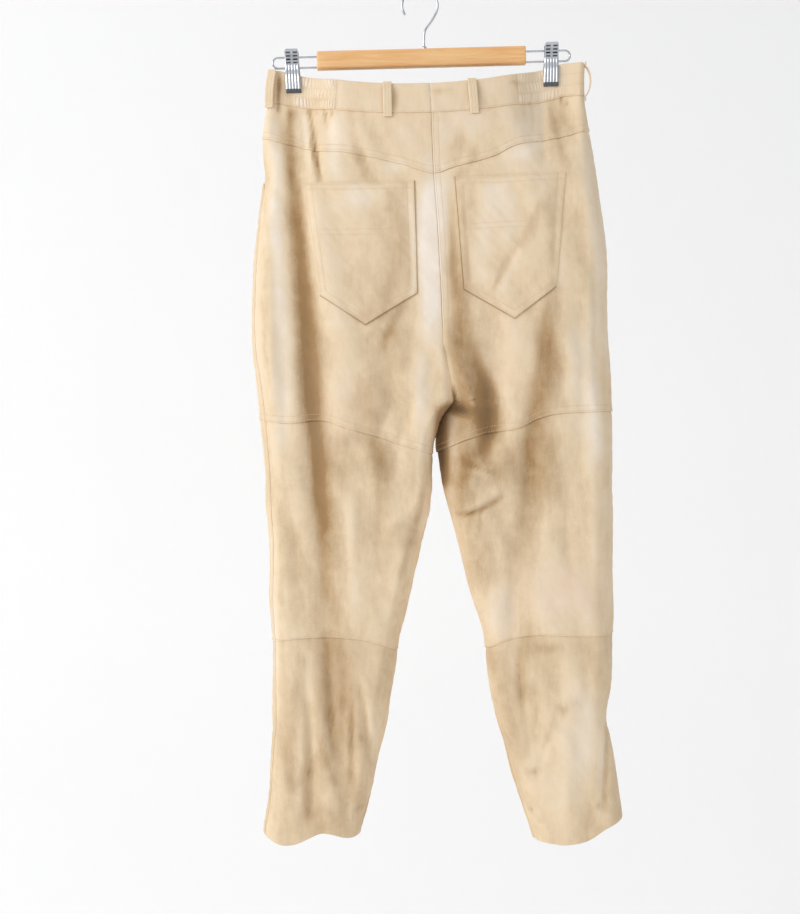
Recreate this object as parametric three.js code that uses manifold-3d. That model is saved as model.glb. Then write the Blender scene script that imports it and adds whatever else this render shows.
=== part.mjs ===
// Suede trousers that hang by the waistband from a wooden hanger with two spring clips.
//
// Millimetres, +Z up. The origin is the seat of the hanger's hook. The back of the
// trousers faces -Y and the wearer's left leg is on -X. Each half of the garment is one
// thin tube of cloth: a point on it is given by its turn (0 at the back's inner edge,
// 0.5 at the outer fold, 1 at the front's inner edge) and by its height. The cut pieces
// are stretches of that tube between seams, and what lies on a piece is made from the
// same points, moved out.

import * as THREE from "three";
import { mergeVertices } from "three/addons/utils/BufferGeometryUtils.js";
import Module from "manifold-3d";

const solids = await Module();
solids.setup();

// ---------------------------------------------------------------- driving dimensions

const SUEDE = 1.5;
const BAND_SUEDE = 2.4;
const SEAM_GAP = 0.3;

const CROTCH_HEIGHT = -525;
const CLEFT_HEIGHT = -430;
const BAND_SAG = 26;
const BAND_SAG_REACH = 180;
const BAND_SAG_POWER = 2.1;
const BAND_ENDS_HEIGHT = -100;
const FRONT_WAIST_DROP = 7;
const BAND_WIDTH = { centre: 38, side: 42 };

const HAND = { left: -1, right: 1 };
const CLIP = { left: -163, right: 165, width: 19, plate: 1.2, grip: 3.2, flat: 13, ease: 26 };
const PINCH = { lip: -131, end: -240 };
const LEG_CREST = 0.5;
const LEG_ARCH = 0.15;
const LEAN_REACH = 70;

const ELASTIC = { pitch: 4, rise: 0.9, channels: 3, fade: 9, underClip: 0.2 };
const ELASTIC_SPAN = { left: [-107, -176], right: [120, 184] };

const COLUMNS = { back: 13, front: 10, backBand: 9, frontBand: 24 };
const ROWS = { band: 2, yoke: 3, seat: 13, crotch: 3, middle: 11, lower: 10 };

const LOOP = { width: 11.5, suede: 1.6, seat: 0.5, tacked: 0.125, above: 1.5, below: 5.5, steps: 8 };
const POCKET_SUEDE = 1.6;
const FACING = { suede: 1.2, behind: 16 };
const FLY = { width: 38, length: 165, corner: 30, toe: 6 };
const TAB = { left: 17, right: 26, margin: 2.5 };
const BUTTON = { radius: 8.5, rim: 1.1, thick: 3.2, dish: 5.6 };

const BAR = { length: 265, tall: 23.6, deep: 12, corner: 3.5, top: -76.4 };
const RAIL = { radius: 1.7, upper: -83, lower: -96.5, reach: 190.5 };
const HOOK = { radius: 1.5, bend: 22.5, stem: 4 };
const SPRING = { radius: 1.9, height: -89.75, short: 4 };

// How deep through the garment each cutter reaches, from one depth to another.
const CUT = { pocket: [-90, -8], front: [-70, 90], fly: [4, 80], tab: [2, 60] };

// The sections of the body, one row for each height. "crest" says how far out from the
// centre seam the cloth stands deepest, and "arch" how much less deep it is at the ends.
const BODY = table(
  ["height", "left", "right", "centre", "round", "back", "front", "crest", "arch"],
  [
    [-96, -193, 207, 10, 9, 24, 16, 0.0, 0.5],
    [-145, -198, 205.5, 10, 12, 30, 22, 0.06, 0.45],
    [-190, -205, 211, 10, 18, 36, 28, 0.15, 0.32],
    [-245, -205, 218, 11, 22, 41, 32, 0.3, 0.22],
    [-310, -215, 225, 14, 25, 44, 34, 0.38, 0.18],
    [-380, -220, 227, 16, 27, 45, 34, 0.42, 0.15],
    [-450, -223, 227, 18, 28, 43, 34, 0.45, 0.15],
    [-495, -220, 228, 25, 28, 40, 33, 0.48, 0.15],
    [CROTCH_HEIGHT, -218, 229, 30, 28, 38, 32, LEG_CREST, LEG_ARCH],
  ],
);

// The sections of each leg. "lean" moves the inner edge forward or back.
const LEG_COLUMNS = ["height", "outer", "inner", "round", "innerRound", "back", "front", "lean"];
const LEGS = {
  left: table(LEG_COLUMNS, [
    [CROTCH_HEIGHT, -218, 30, 28, 15, 38, 32, 0],
    [-545, -216, 14, 28, 16, 37, 32, -8],
    [-570, -214, 5, 28, 18, 36, 31, -8],
    [-600, -213, 1.5, 27, 20, 36, 31, -5],
    [-640, -212, -1, 27, 21, 35, 31, 0],
    [-700, -207, -15, 26, 22, 35, 31, 0],
    [-760, -208.5, -30, 26, 22, 34, 31, 0],
    [-820, -207, -45, 25, 22, 34, 31, 0],
    [-880, -209, -57, 25, 22, 34, 31, 0],
    [-940, -211.5, -69, 25, 22, 35, 32, 0],
    [-1000, -216, -84, 26, 22, 36, 33, 0],
    [-1070, -225, -103, 26, 22, 37, 34, 0],
  ]),
  right: table(LEG_COLUMNS, [
    [CROTCH_HEIGHT, 229, 30, 28, 38, 38, 32, 0],
    [-545, 230, 13, 28, 40, 37, 32, 9],
    [-570, 230, 6.5, 28, 40, 36, 31, 9],
    [-600, 229.5, 9, 28, 36, 36, 31, 6],
    [-640, 227, 14, 27, 30, 35, 31, 0],
    [-700, 227, 29, 26, 24, 35, 31, 0],
    [-760, 225, 41.5, 26, 22, 34, 31, 0],
    [-820, 224, 58, 25, 22, 34, 31, 0],
    [-880, 220.5, 64.5, 25, 22, 34, 31, 0],
    [-930, 213.5, 74, 22, 22, 35, 32, 0],
    [-955, 217.5, 81, 22, 22, 35, 32, 0],
    [-1000, 224, 91, 24, 22, 36, 33, 0],
    [-1085, 233, 118, 26, 22, 37, 34, 0],
  ]),
};

// The turn of the side seam: on the left it is drawn round onto the back below the hip.
const SIDE_SEAM = {
  left: table(["height", "turn"], [[-90, 0.5], [-200, 0.495], [-255, 0.462], [-1100, 0.455]]),
  right: table(["height", "turn"], [[-90, 0.515], [-1100, 0.52]]),
};

// Heights of the cross seams and hems by distance across.
const SEAM_COLUMNS = ["across", "height"];
const YOKE_SEAM = table(SEAM_COLUMNS, [
  [-210, -185], [-165, -197], [-135, -206.5], [-96, -212], [-31, -228], [11, -241.5],
  [38, -234], [86, -222], [112, -209.5], [143, -202], [181, -195], [214, -186],
]);
const THIGH_SEAM = {
  left: table(SEAM_COLUMNS, [
    [-225, -541], [-180, -548], [-137, -546], [-100, -558], [-64, -569], [-40, -578], [5, -592],
  ]),
  right: table(SEAM_COLUMNS, [
    [5, -590], [40, -576], [75, -566], [108, -562], [133, -551], [158, -545], [232, -543],
  ]),
};
const KNEE_SEAM = {
  left: table(SEAM_COLUMNS, [[-212, -822], [-169, -817], [-108, -819], [-77, -825], [-42, -840]]),
  right: table(SEAM_COLUMNS, [[58, -839], [89, -826], [126, -821], [188, -824], [226, -824]]),
};
const HEM = {
  left: {
    back: table(SEAM_COLUMNS, [
      [-227, -1062], [-208, -1071], [-197, -1074], [-183, -1073], [-168, -1067],
      [-151, -1060.5], [-138, -1062], [-120, -1067], [-101, -1067.5],
    ]),
    front: table(SEAM_COLUMNS, [[-227, -1062], [-150, -1068], [-101, -1067.5]]),
  },
  right: {
    back: table(SEAM_COLUMNS, [
      [113, -1081.5], [135, -1081], [151, -1082.5], [174, -1080], [186, -1076],
      [207, -1063.5], [233, -1055],
    ]),
    front: table(SEAM_COLUMNS, [[113, -1081.5], [170, -1072], [233, -1055]]),
  },
};

// The largest folds: a soft trough (negative depth) or ridge along three points.
const FOLD_COLUMNS = ["x0", "z0", "x1", "z1", "x2", "z2", "wide", "depth"];
const FOLDS = {
  back: rowsOf(FOLD_COLUMNS, [
    [-166, -150, -158, -260, -152, -420, 17, -9],
    [-152, -380, -146, -560, -136, -830, 17, -9],
    [-142, -152, -136, -190, -130, -245, 7, -4],
    [-122, -155, -120, -185, -116, -215, 6, -2.5],
    [76, -450, 80, -530, 64, -610, 17, -11],
    [22, -440, 44, -505, 56, -560, 9, 4],
    [128, -470, 124, -600, 116, -700, 18, -7],
    [104, -700, 98, -830, 122, -990, 16, -6],
    [-168, -880, -160, -960, -158, -1040, 12, -7],
    [-128, -830, -130, -900, -124, -990, 12, -6],
    [-104, -920, -98, -990, -100, -1060, 10, 4],
    [30, -640, 60, -620, 92, -600, 10, 4],
    [-8, -640, -24, -655, -60, -690, 10, 4],
    [215, -915, 208, -975, 199, -1040, 8, -6],
    [170, -900, 160, -980, 168, -1070, 14, 4],
    [-186, -985, -170, -1000, -150, -1035, 8, -3],
  ]),
  front: rowsOf(FOLD_COLUMNS, [
    [-150, -170, -142, -300, -140, -460, 18, -6],
    [140, -180, 146, -320, 136, -480, 18, -6],
    [-60, -470, -90, -560, -110, -640, 16, -6],
    [80, -470, 104, -560, 116, -660, 16, -6],
    [-120, -700, -110, -850, -130, -1000, 18, -7],
    [120, -720, 110, -850, 140, -1000, 18, -7],
    [-20, -620, -60, -660, -100, -680, 11, 4],
    [36, -620, 70, -660, 110, -680, 11, 4],
    [-170, -860, -166, -960, -176, -1050, 14, 4],
    [180, -850, 176, -960, 190, -1050, 14, 4],
  ]),
};

// Each back pocket by its corners, as distance across and height.
const POCKET_CORNERS = ["corner", "across", "height"];
const BACK_POCKETS = {
  left: rowsOf(POCKET_CORNERS, [
    ["top inner", -13, -250.5],
    ["top outer", -151, -249],
    ["low outer", -134, -391],
    ["tip", -79, -429],
    ["low inner", -13, -391],
  ]),
  right: rowsOf(POCKET_CORNERS, [
    ["top inner", 36.5, -247],
    ["top outer", 175.5, -243.5],
    ["low outer", 159, -388],
    ["tip", 106.5, -426],
    ["low inner", 44, -388],
  ]),
};

// The front pocket's mouth: where it starts across, how deep it ends and how far it bows.
const SCOOP = { waist: 92, depth: -250, bow: 0.62, above: 4, steps: 8, outside: 260 };

// One jaw of a clip from the side: depth and height down the inside of its bent plate.
const JAW = rowsOf(["deep", "height"], [
  [CLIP.grip + SEAM_GAP, -129.5],
  [5.4, -124],
  [5.4, -107],
  [SPRING.radius + SEAM_GAP, -98.5],
  [SPRING.radius + SEAM_GAP, -81],
  [6.8, -70],
]);

// The hook's neck above the bar, as distance past the stem and height over the bar.
const NECK = rowsOf(["across", "above"], [[0, SEAM_GAP], [0, 14], [2, 24], [10, 35]]);
const HOOK_ARC = { from: -0.35, to: Math.PI + 0.5, steps: 12 };

// Each belt loop by its turn, how far it stands off the band and how far it leans across.
const LOOPS = [
  { name: "belt_loop_back_left", side: "left", turn: 0.118, stand: 3.4, lean: 2 },
  { name: "belt_loop_back_right", side: "right", turn: 0.122, stand: 3.4, lean: 1 },
  { name: "belt_loop_side_left", side: "left", turn: 0.463, stand: 3.4, lean: 0 },
  { name: "belt_loop_side_right", side: "right", turn: 0.498, stand: 7, lean: 0 },
  { name: "belt_loop_front_left", side: "left", turn: 0.81, stand: 3.4, lean: 0 },
  { name: "belt_loop_front_right", side: "right", turn: 0.81, stand: 3.4, lean: 0 },
];

const FINISH = {
  suede: { color: 0xdcc6a2, roughness: 0.95, metalness: 0 },
  darkSuede: { color: 0xd2b991, roughness: 0.95, metalness: 0 },
  wood: { color: 0xd9a566, roughness: 0.5, metalness: 0 },
  chrome: { color: 0xd8dadd, roughness: 0.15, metalness: 1 },
  horn: { color: 0x9c7d55, roughness: 0.4, metalness: 0 },
};

// ------------------------------------------------------------------ numbers and tables

function clamp(value, low = 0, high = 1) {
  return Math.min(high, Math.max(low, value));
}

function mix(from, to, share) {
  return from + (to - from) * share;
}

function ease(share) {
  const s = clamp(share);
  return s * s * (3 - 2 * s);
}

// Rows of numbers under named columns, as objects.
function rowsOf(columns, rows) {
  return rows.map((row) => Object.fromEntries(columns.map((name, i) => [name, row[i]])));
}

// A smooth curve through the rows of a table. The first column is the one looked up.
function table(columns, rows) {
  const ordered = [...rows].sort((a, b) => a[0] - b[0]);
  const slope = (i, c) => {
    const before = ordered[Math.max(0, i - 1)];
    const after = ordered[Math.min(ordered.length - 1, i + 1)];
    return (after[c] - before[c]) / (after[0] - before[0]);
  };
  return (key) => {
    const k = clamp(key, ordered[0][0], ordered[ordered.length - 1][0]);
    let i = 0;
    while (i < ordered.length - 2 && ordered[i + 1][0] < k) {
      i += 1;
    }
    const span = ordered[i + 1][0] - ordered[i][0];
    const s = (k - ordered[i][0]) / span;
    const values = columns.map((_, c) => {
      const from = ordered[i][c];
      const to = ordered[i + 1][c];
      const rise = s * s * (3 - 2 * s);
      const leave = s * (1 - s) * (1 - s) * span * slope(i, c);
      const arrive = s * s * (1 - s) * span * slope(i + 1, c);
      return mix(from, to, rise) + leave - arrive;
    });
    return Object.fromEntries(columns.map((name, c) => [name, values[c]]));
  };
}

// --------------------------------------------------------------------- form of the cloth

// How far the seat seam has turned under the body: 0 above it, a quarter turn at the crotch.
function seatTurn(height) {
  const share = clamp((CLEFT_HEIGHT - height) / (CLEFT_HEIGHT - CROTCH_HEIGHT));
  return Math.asin(share);
}

// The section of one half at a height.
function sectionOf(side, height) {
  if (height < CROTCH_HEIGHT) {
    return { ...LEGS[side](height), crest: LEG_CREST, arch: LEG_ARCH };
  }
  const row = BODY(height);
  const { innerRound } = LEGS[side](CROTCH_HEIGHT);
  return { ...row, outer: row[side], inner: row.centre, innerRound, lean: 0 };
}

// The share of a clip's pinch at a place.
function pinchAt(side, x, height) {
  const off = Math.max(0, Math.abs(x - CLIP[side]) - CLIP.flat) / CLIP.ease;
  return Math.exp(-off * off) * (1 - ease((PINCH.lip - height) / (PINCH.lip - PINCH.end)));
}

// The sum of the folds at a place on the back or the front.
function foldAt(face, x, height) {
  let sum = 0;
  for (const fold of FOLDS[face]) {
    const points = [[fold.x0, fold.z0], [fold.x1, fold.z1], [fold.x2, fold.z2]];
    let nearest = Infinity;
    let along = 0;
    for (let i = 0; i < 2; i += 1) {
      const [ax, az] = points[i];
      const [bx, bz] = points[i + 1];
      const length = Math.hypot(bx - ax, bz - az);
      const share = ((x - ax) * (bx - ax) + (height - az) * (bz - az)) / (length * length);
      const s = clamp(share);
      const gap = Math.hypot(x - mix(ax, bx, s), height - mix(az, bz, s));
      if (gap < nearest) {
        nearest = gap;
        along = (i + s) / 2;
      }
    }
    const taper = Math.sin(Math.PI * mix(0.12, 0.88, along));
    sum += fold.depth * taper * Math.exp(-((nearest / fold.wide) ** 2));
  }
  return sum;
}

// The outer face of the cloth of one half, by turn and height.
function clothPoint(side, turn, height) {
  const row = sectionOf(side, height);
  const face = turn < 0.5 ? "back" : "front";
  const reach = turn < 0.5 ? 2 * turn : 2 - 2 * turn;
  const under = seatTurn(height);
  const depth = row[face];
  const width = Math.abs(row.outer - row.inner) - SEAM_GAP / 2;
  const innerArc = (under * (row.innerRound + depth)) / 2;
  const outerArc = (Math.PI * (row.round + depth)) / 4;
  const flat = width - row.round - row.innerRound * Math.sin(under);
  const along = reach * (innerArc + flat + outerArc);
  let across = row.innerRound * Math.sin(under) + along - innerArc;
  let lift = 1;
  if (along < innerArc) {
    const angle = under * (1 - along / innerArc);
    across = row.innerRound * (Math.sin(under) - Math.sin(angle));
    lift = Math.cos(angle);
  } else if (along > innerArc + flat) {
    const angle = ((along - innerArc - flat) / outerArc) * (Math.PI / 2);
    across = width - row.round + row.round * Math.sin(angle);
    lift = Math.cos(angle);
  }
  const x = row.inner + HAND[side] * (SEAM_GAP / 2 + across);
  const off = (across / width - row.crest) / Math.max(row.crest, 1 - row.crest);
  const pinch = pinchAt(side, x, height);
  const plain = depth * (1 - row.arch * off * off) + foldAt(face, x, height);
  const deep = mix(plain, CLIP.grip, pinch);
  const lean = row.lean * (1 - ease(across / LEAN_REACH));
  const out = face === "back" ? -1 : 1;
  return new THREE.Vector3(x, out * lift * deep + lean, height);
}

// The way out of the cloth at a turn and height.
function clothNormal(side, turn, height) {
  const step = 0.002;
  const lift = 0.6;
  const ahead = clothPoint(side, Math.min(1, turn + step), height);
  const round = ahead.sub(clothPoint(side, Math.max(0, turn - step), height));
  const up = clothPoint(side, turn, height + lift).sub(clothPoint(side, turn, height - lift));
  const normal = side === "left" ? up.cross(round) : round.cross(up);
  return normal.normalize();
}

// The turn at which the cloth stands at a distance across, on the back.
function turnAt(side, x, height) {
  let low = 0;
  let high = 0.5;
  for (let i = 0; i < 24; i += 1) {
    const middle = (low + high) / 2;
    const short = (x - clothPoint(side, middle, height).x) * HAND[side];
    if (short > 0) {
      low = middle;
    } else {
      high = middle;
    }
  }
  return low;
}

function waistEdge(x, face) {
  const share = clamp(Math.abs(x) / BAND_SAG_REACH);
  const drop = face === "front" ? FRONT_WAIST_DROP * (1 - share * share) : 0;
  return BAND_ENDS_HEIGHT - BAND_SAG * (1 - share ** BAND_SAG_POWER) - drop;
}

function waistSeam(x, face) {
  const share = clamp(Math.abs(x) / BAND_SAG_REACH);
  return waistEdge(x, face) - mix(BAND_WIDTH.centre, BAND_WIDTH.side, share * share);
}

// Every line across the garment, as its height over a distance across.
const LINES = {
  waistEdge: (x, side, face) => waistEdge(x, face),
  waistSeam: (x, side, face) => waistSeam(x, face),
  yoke: (x) => YOKE_SEAM(x).height,
  crotch: () => CROTCH_HEIGHT,
  thigh: (x, side) => THIGH_SEAM[side](x).height,
  knee: (x, side) => KNEE_SEAM[side](x).height,
  hem: (x, side, face) => HEM[side][face](x).height,
};
const LINE_START = {
  waistEdge: -110,
  waistSeam: -150,
  yoke: -215,
  crotch: CROTCH_HEIGHT,
  thigh: -560,
  knee: -822,
  hem: -1066,
};

function lineHeight(line, side, turn) {
  const face = turn < 0.5 ? "back" : "front";
  let height = LINE_START[line];
  for (let i = 0; i < 3; i += 1) {
    height = LINES[line](clothPoint(side, turn, height).x, side, face);
  }
  return height;
}

// ------------------------------------------------------------------------ solid builders

// A closed wall from a grid of outer and inner points. "place" is given the column and
// the row, and gives both points.
function wallFrom(columns, rows, place) {
  const positions = [];
  for (const layer of ["outer", "inner"]) {
    for (let r = 0; r <= rows; r += 1) {
      for (let c = 0; c <= columns; c += 1) {
        positions.push(...place(c, r)[layer].toArray());
      }
    }
  }
  const layerSize = (columns + 1) * (rows + 1);
  const at = (c, r, layer) => layer * layerSize + r * (columns + 1) + c;
  const faces = [];
  const quad = (a, b, c, d) => faces.push(a, b, c, a, c, d);
  for (let r = 0; r < rows; r += 1) {
    for (let c = 0; c < columns; c += 1) {
      quad(at(c, r, 0), at(c + 1, r, 0), at(c + 1, r + 1, 0), at(c, r + 1, 0));
      quad(at(c, r, 1), at(c, r + 1, 1), at(c + 1, r + 1, 1), at(c + 1, r, 1));
    }
    quad(at(0, r, 0), at(0, r + 1, 0), at(0, r + 1, 1), at(0, r, 1));
    quad(at(columns, r, 0), at(columns, r, 1), at(columns, r + 1, 1), at(columns, r + 1, 0));
  }
  for (let c = 0; c < columns; c += 1) {
    quad(at(c, 0, 0), at(c, 0, 1), at(c + 1, 0, 1), at(c + 1, 0, 0));
    quad(at(c, rows, 0), at(c + 1, rows, 0), at(c + 1, rows, 1), at(c, rows, 1));
  }
  const geometry = new THREE.BufferGeometry();
  geometry.setAttribute("position", new THREE.Float32BufferAttribute(positions, 3));
  geometry.setIndex(faces);
  return facingOut(geometry);
}

// The same geometry with its faces pointing out of the body.
function facingOut(geometry) {
  const index = geometry.getIndex();
  const position = geometry.getAttribute("position");
  const corner = (i) => new THREE.Vector3().fromBufferAttribute(position, index.getX(i));
  let volume = 0;
  for (let i = 0; i < index.count; i += 3) {
    volume += corner(i).dot(corner(i + 1).cross(corner(i + 2)));
  }
  if (volume < 0) {
    for (let i = 0; i < index.count; i += 3) {
      const second = index.getX(i + 1);
      index.setX(i + 1, index.getX(i + 2));
      index.setX(i + 2, second);
    }
  }
  geometry.computeVertexNormals();
  return geometry;
}

// A stretch of cloth between two turns, with so many rows from each of its lines to the
// next. "above" and "below" are how far its faces stand off the cloth, and "give" is what
// each edge leaves to its neighbour.
function clothWall(spec) {
  const { side, lines, rows, columns, turns, above = 0, below = -SUEDE, relief } = spec;
  const give = spec.give ?? SEAM_GAP / 2;
  const total = rows.reduce((sum, count) => sum + count, 0);
  const lineAt = (line, share) => {
    const [from, to] = turns(LINE_START[line]);
    return lineHeight(line, side, mix(from, to, share));
  };
  const heightAt = (share, r) => {
    let block = 0;
    let left = r;
    while (left > rows[block]) {
      left -= rows[block];
      block += 1;
    }
    const upper = lineAt(lines[block], share);
    const lower = lineAt(lines[block + 1], share);
    const drop = r === 0 ? -give : 0;
    const rise = r === total ? give : 0;
    return mix(upper, lower, left / rows[block]) + drop + rise;
  };
  return wallFrom(columns, total, (c, r) => {
    const height = heightAt(c / columns, r);
    const [from, to] = turns(height);
    const row = sectionOf(side, height);
    const inset = give / (2 * Math.abs(row.outer - row.inner) + row.back);
    const turn = mix(from + inset, to - inset, c / columns);
    const point = clothPoint(side, turn, height);
    const normal = clothNormal(side, turn, height);
    const raised = above + (relief ? relief(point, r / total) : 0);
    return {
      outer: point.clone().addScaledVector(normal, raised),
      inner: point.clone().addScaledVector(normal, below),
    };
  });
}

function toSolid(geometry) {
  const plain = geometry.clone();
  plain.deleteAttribute("normal");
  plain.deleteAttribute("uv");
  const merged = mergeVertices(plain, 1e-4);
  const mesh = new solids.Mesh({
    numProp: 3,
    vertProperties: new Float32Array(merged.getAttribute("position").array),
    triVerts: new Uint32Array(merged.getIndex().array),
  });
  return new solids.Manifold(mesh);
}

function fromSolid(solid) {
  const mesh = solid.getMesh();
  const geometry = new THREE.BufferGeometry();
  geometry.setAttribute("position", new THREE.BufferAttribute(mesh.vertProperties, 3));
  geometry.setIndex(new THREE.BufferAttribute(mesh.triVerts, 1));
  geometry.computeVertexNormals();
  return geometry;
}

// A straight-sided cutter: an outline seen from the back, run from one depth to another.
function prism(outline, from, to) {
  const shape = new THREE.Shape(outline.map(([x, z]) => new THREE.Vector2(x, z)));
  const geometry = new THREE.ExtrudeGeometry(shape, { depth: to - from, bevelEnabled: false });
  geometry.rotateX(Math.PI / 2);
  geometry.translate(0, to, 0);
  return toSolid(geometry);
}

// A round bar along a path of points.
function roundBar(points, radius, sides, steps) {
  const path = new THREE.CatmullRomCurve3(points, false, "centripetal");
  const ring = new THREE.Shape();
  for (let i = 0; i < sides; i += 1) {
    const angle = (2 * Math.PI * i) / sides;
    const corner = [radius * Math.cos(angle), radius * Math.sin(angle)];
    if (i === 0) {
      ring.moveTo(...corner);
    } else {
      ring.lineTo(...corner);
    }
  }
  ring.closePath();
  return new THREE.ExtrudeGeometry(ring, { extrudePath: path, steps, bevelEnabled: false });
}

// ----------------------------------------------------------------------------- the object

const trousers = new THREE.Group();
trousers.name = "suede_trousers_on_hanger";

function add(name, geometry, finish) {
  const mesh = new THREE.Mesh(geometry, new THREE.MeshStandardMaterial(finish));
  mesh.name = name;
  trousers.add(mesh);
  return mesh;
}

const backTurns = (side) => (height) => [0, SIDE_SEAM[side](height).turn];
const frontTurns = (side) => (height) => [SIDE_SEAM[side](height).turn, 1];

function panelSpec(side, face, lines, rows) {
  const turns = face === "back" ? backTurns(side) : frontTurns(side);
  return { side, lines, rows, turns, columns: COLUMNS[face] };
}

function addLegPanels(side) {
  for (const face of ["back", "front"]) {
    const middle = panelSpec(side, face, ["thigh", "knee"], [ROWS.middle]);
    const lower = panelSpec(side, face, ["knee", "hem"], [ROWS.lower]);
    add(`${face}_middle_${side}`, clothWall(middle), FINISH.suede);
    add(`${face}_lower_${side}`, clothWall(lower), FINISH.darkSuede);
  }
}

function addBack(side) {
  const yoke = panelSpec(side, "back", ["waistSeam", "yoke"], [ROWS.yoke]);
  const upper = panelSpec(side, "back", ["yoke", "crotch", "thigh"], [ROWS.seat, ROWS.crotch]);
  add(`yoke_${side}`, clothWall(yoke), FINISH.suede);
  add(`back_upper_${side}`, clothWall(upper), FINISH.suede);
  const above = SEAM_GAP + POCKET_SUEDE;
  const raised = toSolid(clothWall({ ...upper, above, below: SEAM_GAP }));
  const outline = BACK_POCKETS[side].map((corner) => [corner.across, corner.height]);
  const pocket = raised.intersect(prism(outline, ...CUT.pocket));
  add(`back_pocket_${side}`, fromSolid(pocket), FINISH.suede);
}

// The front pocket's mouth runs in a curve from the waist seam to the side seam. "grow"
// moves the curve in from the mouth.
function scoopOutline(side, grow) {
  const start = BODY(LINE_START.waistSeam).centre + HAND[side] * (SCOOP.waist - grow);
  const top = waistSeam(start, "front") + SCOOP.above;
  const outside = HAND[side] * SCOOP.outside;
  const bottom = SCOOP.depth - grow;
  const outline = [[outside, 0], [start, 0]];
  for (let i = 0; i <= SCOOP.steps; i += 1) {
    const share = i / SCOOP.steps;
    const x = mix(start, BODY(bottom)[side], share ** (1 + SCOOP.bow));
    outline.push([x, mix(top, bottom, share ** (1 / (1 + SCOOP.bow)))]);
  }
  outline.push([outside, bottom]);
  return outline;
}

function frontUpperSpec(side) {
  const lines = ["waistSeam", "yoke", "crotch", "thigh"];
  return panelSpec(side, "front", lines, [ROWS.yoke, ROWS.seat, ROWS.crotch]);
}

function addFront(side) {
  const upper = frontUpperSpec(side);
  const panel = toSolid(clothWall(upper));
  const mouth = prism(scoopOutline(side, 0), ...CUT.front);
  add(`front_upper_${side}`, fromSolid(panel.subtract(mouth)), FINISH.suede);
  const above = -SUEDE - SEAM_GAP;
  const under = toSolid(clothWall({ ...upper, above, below: above - FACING.suede }));
  const wider = prism(scoopOutline(side, FACING.behind), ...CUT.front);
  add(`pocket_facing_${side}`, fromSolid(under.intersect(wider)), FINISH.suede);
}

// The puckers of the elastic: vertical ripples in channels between rows of stitching.
function puckers(side) {
  const [inner, outer] = ELASTIC_SPAN[side];
  return (point, down) => {
    if (point.y > 0) {
      return 0;
    }
    const share = (point.x - inner) / (outer - inner);
    const length = Math.abs(outer - inner);
    const edges = Math.min(share, 1 - share) * length;
    const channel = Math.abs(Math.sin(Math.PI * ELASTIC.channels * down));
    const ripple = Math.abs(Math.sin((Math.PI * share * length) / ELASTIC.pitch));
    const free = mix(ELASTIC.underClip, 1, 1 - pinchAt(side, point.x, point.z));
    return ELASTIC.rise * clamp(edges / ELASTIC.fade) * channel * ripple * free;
  };
}

function addWaistband(side) {
  const middle = LINE_START.waistEdge - BAND_WIDTH.centre / 2;
  const inner = turnAt(side, ELASTIC_SPAN[side][0], middle);
  const seam = SIDE_SEAM[side](middle).turn;
  const band = {
    side, lines: ["waistEdge", "waistSeam"], rows: [ROWS.band], below: -BAND_SUEDE,
  };
  const back = clothWall({ ...band, turns: () => [0, inner], columns: COLUMNS.backBand });
  add(`waistband_back_${side}`, back, FINISH.suede);
  const length = Math.abs(BODY(middle)[side] - ELASTIC_SPAN[side][0]) + BODY(middle).round;
  const elastic = clothWall({
    ...band,
    turns: () => [inner, seam],
    columns: Math.round((2 * length) / ELASTIC.pitch),
    rows: [2 * ELASTIC.channels],
    relief: puckers(side),
  });
  add(`waistband_elastic_${side}`, elastic, FINISH.suede);
  const front = clothWall({ ...band, turns: () => [seam, 1], columns: COLUMNS.frontBand });
  add(`waistband_front_${side}`, front, FINISH.suede);
}

// A belt loop: a strap held at the band's two edges, standing off it between them.
function addLoop({ name, side, turn, stand, lean }) {
  const top = lineHeight("waistEdge", side, turn) + LOOP.above;
  const bottom = lineHeight("waistSeam", side, turn) - LOOP.below;
  const strap = wallFrom(1, LOOP.steps, (c, step) => {
    const r = step / LOOP.steps;
    const height = mix(top, bottom, r);
    const normal = clothNormal(side, turn, mix(top, bottom, 0.5));
    const level = new THREE.Vector3(normal.x, normal.y, 0).normalize();
    const across = new THREE.Vector3(-level.y, level.x, 0);
    const free = clamp((r - LOOP.tacked) / (1 - 2 * LOOP.tacked));
    const off = LOOP.seat + stand * Math.sin(Math.PI * free) ** 0.6;
    const point = clothPoint(side, turn, height);
    point.addScaledVector(across, (c - 0.5) * LOOP.width + lean * (r - 0.5));
    return {
      outer: point.clone().addScaledVector(level, off + LOOP.suede),
      inner: point.clone().addScaledVector(level, off),
    };
  });
  add(name, strap, FINISH.suede);
}

// A raised sheet over the front of both halves, drawn together so that it bridges them.
function bridgingSheet(lines, rows, above, below) {
  const draw = SEAM_GAP / 2 + 0.05;
  const half = (side, shift) => {
    const spec = { ...panelSpec(side, "front", lines, rows), above, below, give: 0 };
    return toSolid(clothWall(spec).translate(shift, 0, 0));
  };
  return half("left", draw).add(half("right", -draw));
}

function addFly() {
  const centre = BODY(LINE_START.waistSeam).centre;
  const top = waistSeam(centre, "front") - SEAM_GAP;
  const bottom = top - FLY.length;
  const inner = centre + SEAM_GAP;
  const outer = centre + FLY.width;
  const above = top + FLY.corner;
  const outline = [[inner, above], [outer, above]];
  const steps = 6;
  for (let i = 0; i <= steps; i += 1) {
    const angle = (Math.PI / 2) * (i / steps);
    const x = mix(inner + FLY.toe, outer, Math.cos(angle));
    outline.push([x, bottom + FLY.corner * (1 - Math.sin(angle))]);
  }
  outline.push([inner, bottom + FLY.toe / 2]);
  const upper = { ...frontUpperSpec("right"), above: SEAM_GAP + SUEDE, below: SEAM_GAP };
  const sheet = toSolid(clothWall(upper));
  add("fly_facing", fromSolid(sheet.intersect(prism(outline, ...CUT.fly))), FINISH.suede);
}

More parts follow.
